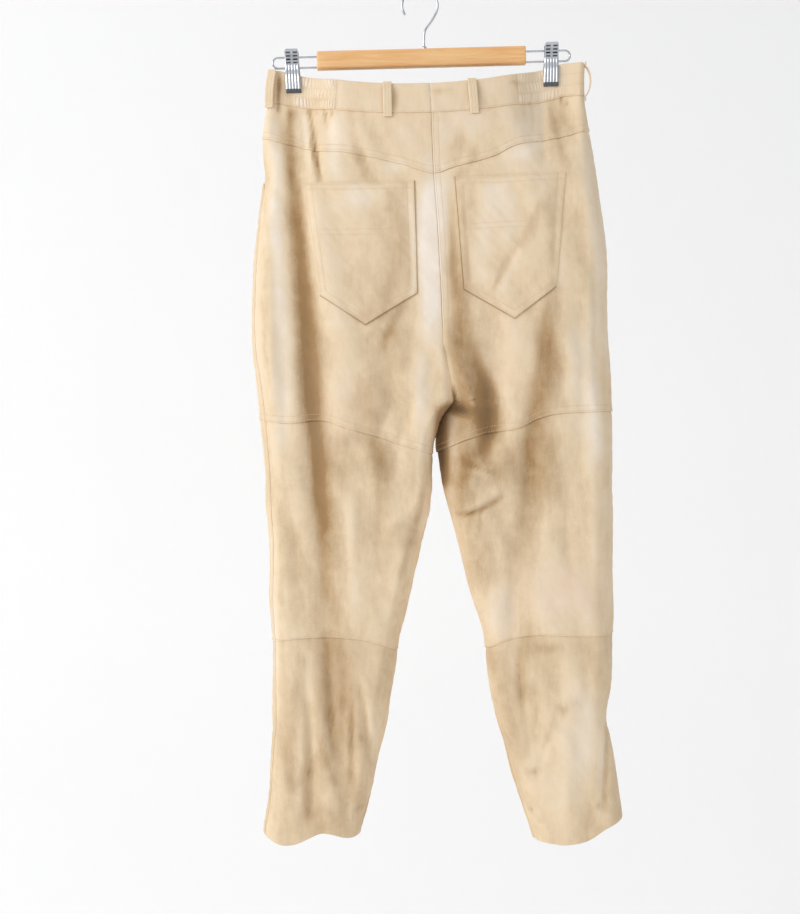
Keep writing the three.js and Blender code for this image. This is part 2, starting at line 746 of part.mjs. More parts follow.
function addTabAndButton() {
  const centre = BODY(LINE_START.waistEdge).centre;
  const top = waistEdge(centre, "front") - TAB.margin;
  const bottom = waistSeam(centre, "front") + TAB.margin;
  const middle = (top + bottom) / 2;
  const half = (top - bottom) / 2;
  const outline = [[centre + TAB.right, top], [centre - TAB.left + half, top]];
  const steps = 8;
  for (let i = 1; i <= steps; i += 1) {
    const angle = (Math.PI * i) / steps;
    const x = centre - TAB.left + half - half * Math.sin(angle);
    outline.push([x, middle + half * Math.cos(angle)]);
  }
  outline.push([centre + TAB.right, bottom]);
  const above = SEAM_GAP + BAND_SUEDE;
  const sheet = bridgingSheet(["waistEdge", "waistSeam"], [ROWS.band], above, SEAM_GAP);
  add("waistband_tab", fromSolid(sheet.intersect(prism(outline, ...CUT.tab))), FINISH.suede);
  const profile = [
    new THREE.Vector2(0, 0),
    new THREE.Vector2(BUTTON.radius - BUTTON.rim, 0),
    new THREE.Vector2(BUTTON.radius, BUTTON.rim),
    new THREE.Vector2(BUTTON.radius, BUTTON.thick - BUTTON.rim),
    new THREE.Vector2(BUTTON.radius - BUTTON.rim, BUTTON.thick),
    new THREE.Vector2(BUTTON.dish, BUTTON.thick - BUTTON.rim),
    new THREE.Vector2(0, BUTTON.thick - BUTTON.rim),
  ];
  const button = new THREE.LatheGeometry(profile, 18);
  const mesh = add("waist_button", button, FINISH.horn);
  const normal = clothNormal("right", 0.98, middle);
  mesh.quaternion.setFromUnitVectors(new THREE.Vector3(0, 1, 0), normal);
  mesh.position.copy(clothPoint("right", 1, middle));
  mesh.position.addScaledVector(normal, above + 2 * SEAM_GAP);
}

function addBar() {
  const low = -BAR.tall / 2;
  const side = -BAR.deep / 2;
  const c = BAR.corner;
  const shape = new THREE.Shape();
  shape.moveTo(low + c, side);
  shape.lineTo(-low - c, side);
  shape.quadraticCurveTo(-low, side, -low, side + c);
  shape.lineTo(-low, -side - c);
  shape.quadraticCurveTo(-low, -side, -low - c, -side);
  shape.lineTo(low + c, -side);
  shape.quadraticCurveTo(low, -side, low, -side - c);
  shape.lineTo(low, side + c);
  shape.quadraticCurveTo(low, side, low + c, side);
  const options = { depth: BAR.length, bevelEnabled: false, curveSegments: 4 };
  const mesh = add("hanger_bar", new THREE.ExtrudeGeometry(shape, options), FINISH.wood);
  mesh.geometry.rotateY(Math.PI / 2);
  mesh.position.set(-BAR.length / 2, 0, BAR.top - BAR.tall / 2);
}

// The wire rail at one end of the bar: out, round a half turn and back.
function addRail(side) {
  const hand = HAND[side];
  const start = BAR.length / 2 + SEAM_GAP;
  const bend = (RAIL.upper - RAIL.lower) / 2;
  const turnStart = RAIL.reach - RAIL.radius - bend;
  const middle = (RAIL.upper + RAIL.lower) / 2;
  const points = [];
  for (const share of [0, 0.3, 0.65]) {
    points.push(new THREE.Vector3(hand * mix(start, turnStart, share), 0, RAIL.upper));
  }
  const steps = 6;
  for (let i = 0; i <= steps; i += 1) {
    const angle = Math.PI / 2 - (Math.PI * i) / steps;
    const x = hand * (turnStart + bend * Math.cos(angle));
    points.push(new THREE.Vector3(x, 0, middle + bend * Math.sin(angle)));
  }
  for (const share of [0.65, 0.3, 0]) {
    points.push(new THREE.Vector3(hand * mix(start, turnStart, share), 0, RAIL.lower));
  }
  add(`hanger_rail_${side}`, roundBar(points, RAIL.radius, 6, 22), FINISH.chrome);
}

// The hook: a stem that swings out into an arc over the origin.
function addHook() {
  const centre = HOOK.radius - HOOK.bend;
  const points = NECK.map(
    (row) => new THREE.Vector3(HOOK.stem + row.across, 0, BAR.top + row.above),
  );
  for (let i = 0; i <= HOOK_ARC.steps; i += 1) {
    const angle = mix(HOOK_ARC.from, HOOK_ARC.to, i / HOOK_ARC.steps);
    const x = HOOK.bend * Math.cos(angle);
    points.push(new THREE.Vector3(x, 0, centre + HOOK.bend * Math.sin(angle)));
  }
  add("hanger_hook", roundBar(points, HOOK.radius, 6, 30), FINISH.chrome);
}

// A clip: two jaws of bent plate and the spring between them.
function addClip(side) {
  for (const [word, out] of [["back", -1], ["front", 1]]) {
    const inside = JAW.map((row) => new THREE.Vector2(row.height, out * row.deep));
    const outside = JAW.map(
      (row) => new THREE.Vector2(row.height, out * (row.deep + CLIP.plate)),
    );
    const shape = new THREE.Shape([...inside, ...outside.reverse()]);
    const options = { depth: CLIP.width, bevelEnabled: false };
    const jaw = new THREE.ExtrudeGeometry(shape, options);
    jaw.rotateY(-Math.PI / 2);
    const mesh = add(`clip_jaw_${word}_${side}`, jaw, FINISH.chrome);
    mesh.position.set(CLIP[side] + CLIP.width / 2, 0, 0);
  }
  const long = CLIP.width - SPRING.short;
  const spring = new THREE.CylinderGeometry(SPRING.radius, SPRING.radius, long, 12);
  const mesh = add(`clip_spring_${side}`, spring, FINISH.chrome);
  mesh.rotation.z = Math.PI / 2;
  mesh.position.set(CLIP[side], 0, SPRING.height);
}

for (const side of ["left", "right"]) {
  addWaistband(side);
  addBack(side);
  addFront(side);
  addLegPanels(side);
  addRail(side);
  addClip(side);
}
for (const loop of LOOPS) {
  addLoop(loop);
}
addFly();
addTabAndButton();
addBar();
addHook();

export default trousers;
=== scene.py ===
"""Suede trousers hung by the waistband from a wooden hanger with two spring clips.

Sizes are in millimetres and are turned to metres as each mesh is made. +Z is up and the
origin is the seat of the hanger's hook. The back of the trousers faces -Y and the
wearer's left leg is on -X. A point on the cloth of one half is given by its turn (0 at
the back's inner edge, 0.5 at the outer fold, 1 at the front's inner edge) and its height.
"""

import logging
import math
from contextlib import contextmanager
from dataclasses import dataclass, field
from enum import Enum
from functools import cache
from typing import Callable, ClassVar, Iterator, Sequence

import bmesh
import bpy
import numpy as np
from mathutils import Matrix, Vector


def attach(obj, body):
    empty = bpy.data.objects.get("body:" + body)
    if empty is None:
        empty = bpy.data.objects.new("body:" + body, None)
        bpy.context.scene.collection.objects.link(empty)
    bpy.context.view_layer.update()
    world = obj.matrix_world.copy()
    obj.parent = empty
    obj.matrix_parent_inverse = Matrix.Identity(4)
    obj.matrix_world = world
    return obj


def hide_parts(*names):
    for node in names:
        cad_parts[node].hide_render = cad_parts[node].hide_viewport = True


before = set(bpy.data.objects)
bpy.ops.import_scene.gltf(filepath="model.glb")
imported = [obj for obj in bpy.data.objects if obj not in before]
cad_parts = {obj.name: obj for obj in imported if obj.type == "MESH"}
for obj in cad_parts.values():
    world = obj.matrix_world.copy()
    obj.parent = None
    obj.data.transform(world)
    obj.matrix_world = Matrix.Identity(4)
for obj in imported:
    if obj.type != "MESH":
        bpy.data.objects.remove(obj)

LOG = logging.getLogger("trousers")
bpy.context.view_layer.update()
MM = 0.001
BODY_NAME = "root"
Array = np.ndarray


class Side(Enum):
    """The wearer's left or right half, and the name of its sections."""

    LEFT = "left"
    RIGHT = "right"

    @property
    def hand(self) -> int:
        """The sign of X on this side."""
        return -1 if self is Side.LEFT else 1


class Face(Enum):
    """The back or the front of the trousers."""

    BACK = "back"
    FRONT = "front"

    @property
    def out(self) -> int:
        """The sign of Y on this face."""
        return -1 if self is Face.BACK else 1


class Line(Enum):
    """A line across the garment, with the height at which its search starts."""

    WAIST_EDGE = -110.0
    WAIST_SEAM = -150.0
    YOKE = -215.0
    FACING_FOOT = -266.0
    THIGH = -560.0
    KNEE = -822.0
    HEM = -1066.0


class Edge(Enum):
    """An edge of a cut piece, as it lies on the cloth."""

    TOP = "top"
    LOW = "low"
    FROM = "from"
    TO = "to"


# ------------------------------------------------------------------ numbers and tables


def mix(start: Array | float, end: Array | float, share: Array | float) -> Array | float:
    """A value part of the way from start to end."""
    return start + (end - start) * share


def ease(share: Array | float) -> Array:
    """A share that leaves 0 and reaches 1 gently."""
    s = np.clip(share, 0.0, 1.0)
    return s * s * (3.0 - 2.0 * s)


def bell(distance: Array, wide: Array | float, crisp: float = 2.0) -> Array:
    """A soft bump, 1 at no distance."""
    return np.exp(-np.abs(distance / wide) ** crisp)


def made_from(kind: type, rows: Sequence[Sequence[float]], **shared: float) -> list:
    """One of a kind for each row of its sizes, with any sizes that all of them share."""
    return [kind(*row, **shared) for row in rows]


def same_shape(*values: Array | float) -> Sequence[Array]:
    """The values as arrays of numbers that have one shape."""
    return np.broadcast_arrays(*(np.asarray(value, float) for value in values))


class CurveTable:
    """A smooth curve through rows of numbers, looked up by their first column."""

    def __init__(self, columns: str, rows: Sequence[Sequence[float]]) -> None:
        """Orders the rows and finds the slope at each.

        Args:
            columns: The names of the columns, with spaces between.
            rows: The rows, each as long as the names.
        """
        ordered = np.array(sorted(rows), dtype=float)
        self.names = columns.split()[1:]
        self.keys = ordered[:, 0]
        self.values = ordered[:, 1:]
        place = np.arange(len(ordered))
        before = np.maximum(place - 1, 0)
        after = np.minimum(place + 1, len(ordered) - 1)
        run = (self.keys[after] - self.keys[before])[:, None]
        self.slopes = (self.values[after] - self.values[before]) / run

    def at(self, key: Array) -> dict[str, Array]:
        """Every column at the keys.

        Args:
            key: Values of the first column.

        Returns:
            An array for each column's name.
        """
        k = np.clip(key, self.keys[0], self.keys[-1])
        i = np.clip(np.searchsorted(self.keys, k) - 1, 0, len(self.keys) - 2)
        span = self.keys[i + 1] - self.keys[i]
        s = (k - self.keys[i]) / span
        leave = s * (1.0 - s) ** 2 * span
        arrive = s * s * (1.0 - s) * span
        found = {}
        for column, name in enumerate(self.names):
            value, slope = self.values[:, column], self.slopes[:, column]
            curve = mix(value[i], value[i + 1], ease(s))
            found[name] = curve + leave * slope[i] - arrive * slope[i + 1]
        return found

    def column(self, name: str, key: Array | float) -> Array:
        """One column at the keys."""
        return self.at(np.asarray(key, dtype=float))[name]


# ------------------------------------------------------------------ sizes of the cloth

FOLD_REACH = 2.6  # how many widths off its line a fold still tells
SEAM_GAP = 0.3  # between two pieces that meet
CREASE_WEAR_AND_SHADE = 0.075  # tone for each millimetre a crease stands out: paler rubbed nap on its ridge, painted shade in its trough
CROTCH_HEIGHT, CLEFT_HEIGHT = -525.0, -430.0
BAND_SAG, BAND_SAG_REACH, BAND_SAG_POWER = 26.0, 180.0, 2.1
BAND_ENDS_HEIGHT, FRONT_WAIST_DROP, BAND_WIDTH = -100.0, 7.0, (38.0, 42.0)
CLIP_AT = {Side.LEFT: -163.0, Side.RIGHT: 165.0}
CLIP_GRIP, CLIP_FLAT, CLIP_EASE = 3.2, 13.0, 26.0
PINCH_LIP, PINCH_END = -131.0, -240.0
LEAN_REACH = 70.0  # how far in from the inner edge a leg leans
CALM_FOOT, CALM_REACH = -150.0, 60.0  # where the broad ripples start, going down
SAME_PLACE = 1e-6  # metres between points that count as one
EDGE_ROUNDING, ROW_PRESS = (0.4, 0.7), (0.2, 0.9)  # depth and reach
ELASTIC_SPAN = {Side.LEFT: (-107.0, -176.0), Side.RIGHT: (120.0, 184.0)}

BODY = CurveTable(
    "height left right centre round back front crest arch",
    [
        [-96, -193, 207, 10, 9, 24, 16, 0.0, 0.5],
        [-145, -198, 205.5, 10, 12, 30, 22, 0.06, 0.45],
        [-190, -205, 211, 10, 18, 36, 28, 0.15, 0.32],
        [-245, -205, 218, 11, 22, 41, 32, 0.3, 0.22],
        [-310, -215, 225, 14, 25, 44, 34, 0.38, 0.18],
        [-380, -220, 227, 16, 27, 45, 34, 0.42, 0.15],
        [-450, -223, 227, 18, 28, 43, 34, 0.45, 0.15],
        [-495, -220, 228, 25, 28, 40, 33, 0.48, 0.15],
        [-525, -218, 229, 30, 28, 38, 32, 0.5, 0.15],
    ],
)

LEG_COLUMNS = "height outer inner round innerRound back front lean"
LEGS = {
    Side.LEFT: CurveTable(LEG_COLUMNS, [
        [-525, -218, 30, 28, 15, 38, 32, 0],
        [-545, -216, 14, 28, 16, 37, 32, -8],
        [-570, -214, 5, 28, 18, 36, 31, -8],
        [-600, -213, 1.5, 27, 20, 36, 31, -5],
        [-640, -212, -1, 27, 21, 35, 31, 0],
        [-700, -207, -15, 26, 22, 35, 31, 0],
        [-760, -208.5, -30, 26, 22, 34, 31, 0],
        [-820, -207, -45, 25, 22, 34, 31, 0],
        [-880, -209, -57, 25, 22, 34, 31, 0],
        [-940, -211.5, -69, 25, 22, 35, 32, 0],
        [-1000, -216, -84, 26, 22, 36, 33, 0],
        [-1070, -225, -103, 26, 22, 37, 34, 0],
    ]),
    Side.RIGHT: CurveTable(LEG_COLUMNS, [
        [-525, 229, 30, 28, 38, 38, 32, 0],
        [-545, 230, 13, 28, 40, 37, 32, 9],
        [-570, 230, 6.5, 28, 40, 36, 31, 9],
        [-600, 229.5, 9, 28, 36, 36, 31, 6],
        [-640, 227, 14, 27, 30, 35, 31, 0],
        [-700, 227, 29, 26, 24, 35, 31, 0],
        [-760, 225, 41.5, 26, 22, 34, 31, 0],
        [-820, 224, 58, 25, 22, 34, 31, 0],
        [-880, 220.5, 64.5, 25, 22, 34, 31, 0],
        [-930, 213.5, 74, 22, 22, 35, 32, 0],
        [-955, 217.5, 81, 22, 22, 35, 32, 0],
        [-1000, 224, 91, 24, 22, 36, 33, 0],
        [-1085, 233, 118, 26, 22, 37, 34, 0],
    ]),
}

SIDE_SEAM = {
    Side.LEFT: CurveTable(
        "height turn", [[-90, 0.5], [-200, 0.495], [-255, 0.462], [-1100, 0.455]]
    ),
    Side.RIGHT: CurveTable("height turn", [[-90, 0.515], [-1100, 0.52]]),
}

CROSSING = "across height"
YOKE_SEAM = CurveTable(CROSSING, [
    [-210, -185], [-165, -197], [-135, -206.5], [-96, -212], [-31, -228], [11, -241.5],
    [38, -234], [86, -222], [112, -209.5], [143, -202], [181, -195], [214, -186],
])
THIGH_SEAM = {
    Side.LEFT: CurveTable(CROSSING, [
        [-225, -541], [-180, -548], [-137, -546], [-100, -558], [-64, -569],
        [-40, -578], [5, -592],
    ]),
    Side.RIGHT: CurveTable(CROSSING, [
        [5, -590], [40, -576], [75, -566], [108, -562], [133, -551], [158, -545],
        [232, -543],
    ]),
}
KNEE_SEAM = {
    Side.LEFT: CurveTable(
        CROSSING, [[-212, -822], [-169, -817], [-108, -819], [-77, -825], [-42, -840]]
    ),
    Side.RIGHT: CurveTable(
        CROSSING, [[58, -839], [89, -826], [126, -821], [188, -824], [226, -824]]
    ),
}
HEM = {
    (Side.LEFT, Face.BACK): CurveTable(CROSSING, [
        [-227, -1062], [-208, -1071], [-197, -1074], [-183, -1073], [-168, -1067],
        [-151, -1060.5], [-138, -1062], [-120, -1067], [-101, -1067.5],
    ]),
    (Side.LEFT, Face.FRONT): CurveTable(CROSSING, [[-227, -1062], [-150, -1068], [-101, -1067.5]]),
    (Side.RIGHT, Face.BACK): CurveTable(CROSSING, [
        [113, -1081.5], [135, -1081], [151, -1082.5], [174, -1080], [186, -1076],
        [207, -1063.5], [233, -1055],
    ]),
    (Side.RIGHT, Face.FRONT): CurveTable(CROSSING, [[113, -1081.5], [170, -1072], [233, -1055]]),
}


@dataclass(frozen=True)
class Fold:
    """A soft trough (negative depth) or ridge along a bent line of three points."""

    x0: float
    z0: float
    x1: float
    z1: float
    x2: float
    z2: float
    wide: float
    depth: float
    crisp: float = 2.0
    fade: float = 1.0
    wobble: float = 1.0

    def path(self, steps: int = 10) -> Array:
        """The fold's line as points that pass through its three points."""
        s = np.linspace(0.0, 1.0, steps + 1)[:, None]
        corners = [[self.x0, self.z0], [self.x1, self.z1], [self.x2, self.z2]]
        first, middle, last = np.array(corners)
        handle = 2.0 * middle - (first + last) / 2.0
        return (1 - s) ** 2 * first + 2 * s * (1 - s) * handle + s * s * last

    def add_to(self, total: Array, x: Array, height: Array) -> None:
        """Adds this fold's height to total at the places across and up.

        Args:
            total: The sum so far, changed in place.
            x: Distances across.
            height: Heights.
        """
        points = self.path()
        reach = FOLD_REACH * self.wide
        low, high = points.min(axis=0) - reach, points.max(axis=0) + reach
        near = (x > low[0]) & (x < high[0]) & (height > low[1]) & (height < high[1])
        if not near.any():
            return
        px, pz = x[near], height[near]
        nearest = np.full(px.shape, np.inf)
        along = np.zeros(px.shape)
        for i in range(len(points) - 1):
            (ax, az), (bx, bz) = points[i], points[i + 1]
            run, rise = bx - ax, bz - az
            s = np.clip(((px - ax) * run + (pz - az) * rise) / (run * run + rise * rise), 0, 1)
            gap = np.hypot(px - ax - run * s, pz - az - rise * s)
            closer = gap < nearest
            nearest = np.where(closer, gap, nearest)
            along = np.where(closer, (i + s) / (len(points) - 1), along)
        taper = np.sin(math.pi * mix(0.1, 0.9, along)) ** self.fade
        waves = 0.22 * np.sin(9.0 * along + self.x0) + 0.12 * np.sin(23.0 * along)
        uneven = 1.0 + self.wobble * waves
        total[near] += self.depth * taper * uneven * bell(nearest, self.wide, self.crisp)


MAIN_FOLDS = {
    Face.BACK: made_from(Fold, (
        (-166, -150, -158, -260, -152, -420, 17, -9),
        (-152, -380, -146, -560, -136, -830, 17, -9), (-142, -152, -136, -190, -130, -245, 7, -4),
        (-122, -155, -120, -185, -116, -215, 6, -2.5), (76, -450, 80, -530, 64, -610, 17, -11),
        (22, -440, 44, -505, 56, -560, 9, 4), (128, -470, 124, -600, 116, -700, 18, -7),
        (104, -700, 98, -830, 122, -990, 16, -6), (-168, -880, -160, -960, -158, -1040, 12, -7),
        (-128, -830, -130, -900, -124, -990, 12, -6), (-104, -920, -98, -990, -100, -1060, 10, 4),
        (30, -640, 60, -620, 92, -600, 10, 4), (-8, -640, -24, -655, -60, -690, 10, 4),
        (215, -915, 208, -975, 199, -1040, 8, -6), (170, -900, 160, -980, 168, -1070, 14, 4),
        (-186, -985, -170, -1000, -150, -1035, 8, -3),
    )),
    Face.FRONT: made_from(Fold, (
        (-150, -170, -142, -300, -140, -460, 18, -6), (140, -180, 146, -320, 136, -480, 18, -6),
        (-60, -470, -90, -560, -110, -640, 16, -6), (80, -470, 104, -560, 116, -660, 16, -6),
        (-120, -700, -110, -850, -130, -1000, 18, -7), (120, -720, 110, -850, 140, -1000, 18, -7),
        (-20, -620, -60, -660, -100, -680, 11, 4), (36, -620, 70, -660, 110, -680, 11, 4),
        (-170, -860, -166, -960, -176, -1050, 14, 4), (180, -850, 176, -960, 190, -1050, 14, 4),
    )),
}

CREASES = {
    Face.BACK: made_from(Fold, (
        (142, -266, 108, -340, 78, -392, 8, -1.7, 1.6),
        (106, -344, 92, -366, 76, -389, 2, 0.9, 1.6),
        (152, -258, 128, -300, 112, -330, 6, 1.0, 1.6),
        (168, -250, 160, -330, 163, -420, 6, -1.8, 1.6),
        (-176, -160, -172, -200, -168, -250, 5, -2.2, 1.6),
        (-156, -152, -151, -178, -147, -208, 3.5, -1.8, 1.5),
        (-143, -155, -137, -205, -131, -248, 3, -2.6, 1.5),
        (-148, -156, -143, -205, -138, -244, 3, 1.4, 1.5),
        (-129, -154, -126, -168, -124, -186, 2.4, -1.7, 1.5),
        (-117, -153, -115, -164, -114, -178, 2.2, -1.2, 1.5),
        (-106, -153, -104, -166, -101, -186, 2.6, -0.9, 1.5),
        (-92, -160, -82, -212, -66, -254, 9, -2.0, 1.8),
        (117, -150, 119, -160, 120, -176, 2.2, -1.2, 1.5),
        (127, -149, 128, -160, 130, -180, 2.4, -1.4, 1.5),
        (137, -148, 139, -162, 138, -188, 2.6, -1.5, 1.5),
        (150, -146, 152, -180, 148, -230, 5, -2.6, 1.6),
        (163, -143, 166, -176, 176, -226, 4, -2.4, 1.5),
        (173, -142, 177, -166, 186, -200, 3.5, -1.6, 1.5),
        (-60, -430, -52, -500, -60, -560, 12, -1.5),
        (-30, -404, -46, -430, -62, -462, 6, -2.2, 1.6),
        (-84, -450, -90, -540, -84, -640, 10, -2.4), (-24, -260, -20, -330, -14, -430, 9, -1.8),
        (-20, -440, -12, -500, -24, -570, 12, 2.0), (-112, -460, -114, -540, -106, -620, 9, 1.1),
        (32, -262, 30, -340, 30, -420, 8, -2.6), (48, -430, 62, -480, 70, -520, 7, -2.4, 1.6),
        (36, -494, 52, -520, 57, -566, 4, 3.0, 1.6), (68, -484, 74, -530, 70, -580, 8, -4.6, 1.6),
        (40, -470, 70, -500, 96, -548, 6, -2.0, 1.5),
        (84, -512, 96, -530, 118, -546, 4, 1.2, 1.5), (24, -470, 30, -510, 44, -560, 4, 1.4, 1.6),
        (-30, -470, -48, -520, -74, -580, 7, -2.2, 1.6),
        (-6, -500, -30, -545, -52, -620, 6, -2.0, 1.6),
        (-4, -470, -16, -520, -20, -570, 5, 1.5, 1.6),
        (-186, -420, -182, -500, -184, -600, 8, -2.4),
        (-200, -300, -196, -420, -198, -540, 5, 1.6, 1.8),
        (186, -430, 190, -520, 184, -620, 8, -2.2),
        (204, -300, 210, -420, 208, -560, 7, -2.0, 1.8),
        (-66, -590, -66, -660, -74, -750, 9, -3.0, 1.8),
        (-96, -610, -102, -690, -96, -790, 8, 2.0, 1.8),
        (-40, -690, -48, -740, -60, -800, 7, 1.8, 1.8),
        (-4, -638, -15, -662, -29, -686, 3.4, -2.8, 1.6),
        (0, -652, -14, -676, -26, -700, 3.4, 1.8, 1.6),
        (-178, -640, -176, -720, -180, -810, 8, -1.8, 1.8),
        (52, -690, 60, -672, 72, -656, 3, 1.5, 1.6),
        (28, -662, 54, -656, 90, -632, 4.2, 2.6, 1.6),
        (30, -669, 56, -664, 86, -645, 3.4, -2.4, 1.6),
        (32, -612, 50, -611, 80, -620, 4, 1.6, 1.6),
        (34, -621, 52, -621, 78, -630, 3.4, -1.4, 1.6),
        (62, -600, 80, -606, 106, -604, 4, -1.2, 1.6),
        (44, -708, 58, -740, 66, -790, 7, -2.0, 1.8), (78, -690, 88, -740, 84, -800, 7, 1.6, 1.8),
        (172, -600, 166, -690, 172, -780, 9, -2.2, 1.8),
        (198, -600, 200, -690, 196, -800, 7, 1.6, 1.8),
        (-137, -814, -136, -900, -131, -968, 4, -3.6, 1.6),
        (-118, -820, -117, -880, -119, -940, 4.5, -2.4, 1.6),
        (-127, -820, -127, -890, -124, -960, 4, 1.4, 1.6),
        (-170, -884, -173, -960, -175, -1034, 4.4, 2.8, 1.5),
        (-161, -894, -163, -970, -166, -1044, 5.6, -3.6, 1.6),
        (-160, -904, -147, -942, -127, -990, 4, 2.4, 1.5),
        (-156, -930, -144, -966, -128, -1010, 4, -2.0, 1.5),
        (-115, -900, -117, -950, -120, -996, 3, 2.0, 1.5),
        (-109, -896, -110, -950, -112, -1000, 3.2, -1.8, 1.5),
        (-99, -880, -92, -930, -85, -1000, 4, -2.4, 1.6),
        (-92, -870, -84, -920, -77, -960, 4, 1.6, 1.6),
        (-64, -850, -76, -900, -82, -960, 5, -1.8, 1.6),
        (-196, -930, -190, -980, -182, -1010, 4, -1.8, 1.5),
        (-187, -992, -177, -1000, -164, -984, 2.6, -1.6, 1.5),
        (-190, -1006, -178, -1012, -160, -1006, 3, 1.2, 1.5),
        (-190, -1030, -180, -1046, -176, -1064, 5, 1.6, 1.6),
        (-150, -1010, -142, -1036, -140, -1062, 5, 1.8, 1.6),
        (-122, -1016, -118, -1040, -120, -1066, 5, -1.8, 1.6),
        (104, -832, 103, -880, 112, -964, 4.4, -2.6, 1.6),
        (95, -836, 97, -890, 104, -940, 4, 1.2, 1.6),
        (124, -836, 122, -900, 118, -960, 6, -1.8, 1.6),
        (152, -905, 138, -940, 118, -1000, 3.6, -1.8, 1.5),
        (206, -918, 202, -976, 196, -1046, 3, 2.2, 1.5),
        (212, -930, 208, -984, 204, -1044, 4, -2.4, 1.5),
        (70, -860, 86, -900, 104, -960, 6, -1.8, 1.6),
        (180, -840, 186, -880, 180, -920, 6, -1.6, 1.7),
        (150, -990, 156, -1030, 150, -1076, 8, 1.6, 1.8),
        (178, -1010, 184, -1040, 180, -1072, 6, -1.4, 1.8),
    )),
    Face.FRONT: made_from(Fold, (
        (-6, -500, -36, -540, -60, -590, 6, -2.6, 1.6),
        (30, -500, 56, -540, 80, -600, 6, -2.6, 1.6),
        (-30, -470, -60, -500, -90, -540, 6, -2.2, 1.6),
        (44, -460, 70, -500, 96, -540, 6, -2.2, 1.6),
        (-2, -486, -26, -520, -50, -566, 4, 1.6, 1.6),
        (24, -486, 46, -520, 66, -566, 4, 1.6, 1.6),
        (-176, -420, -180, -520, -172, -640, 9, -2.6), (184, -420, 188, -520, 180, -640, 9, -2.6),
        (-90, -640, -96, -720, -84, -800, 8, -2.6, 1.8),
        (84, -650, 92, -730, 86, -800, 8, -2.6, 1.8),
        (-60, -850, -80, -910, -92, -990, 6, -2.2, 1.6),
        (96, -850, 102, -910, 116, -990, 6, -2.2, 1.6),
        (-146, -840, -150, -920, -142, -1000, 6, -2.4, 1.6),
        (-132, -850, -136, -920, -130, -1000, 5, 1.8, 1.6),
        (160, -840, 156, -920, 162, -1000, 6, -2.4, 1.6),
        (146, -850, 143, -920, 149, -1000, 5, 1.8, 1.6),
        (-60, -160, -64, -230, -58, -330, 10, -2.2), (84, -165, 88, -240, 80, -340, 10, -2.2),
        (-190, -700, -186, -800, -190, -900, 7, -2.0), (200, -700, 196, -800, 200, -900, 7, -2.0),
        (-20, -650, -40, -656, -66, -646, 4, 1.8, 1.6),
        (42, -662, 62, -668, 92, -656, 4, 1.8, 1.6),
        (-22, -660, -42, -667, -64, -658, 3.4, -1.8, 1.6),
        (44, -672, 64, -679, 90, -668, 3.4, -1.8, 1.6),
        (-110, -300, -116, -380, -110, -460, 12, -2.0),
        (112, -320, 120, -400, 114, -480, 12, -2.0),
        (-170, -1000, -160, -1030, -164, -1062, 5, 1.8, 1.6),
        (180, -1000, 172, -1034, 176, -1066, 5, 1.8, 1.6),
    )),
}
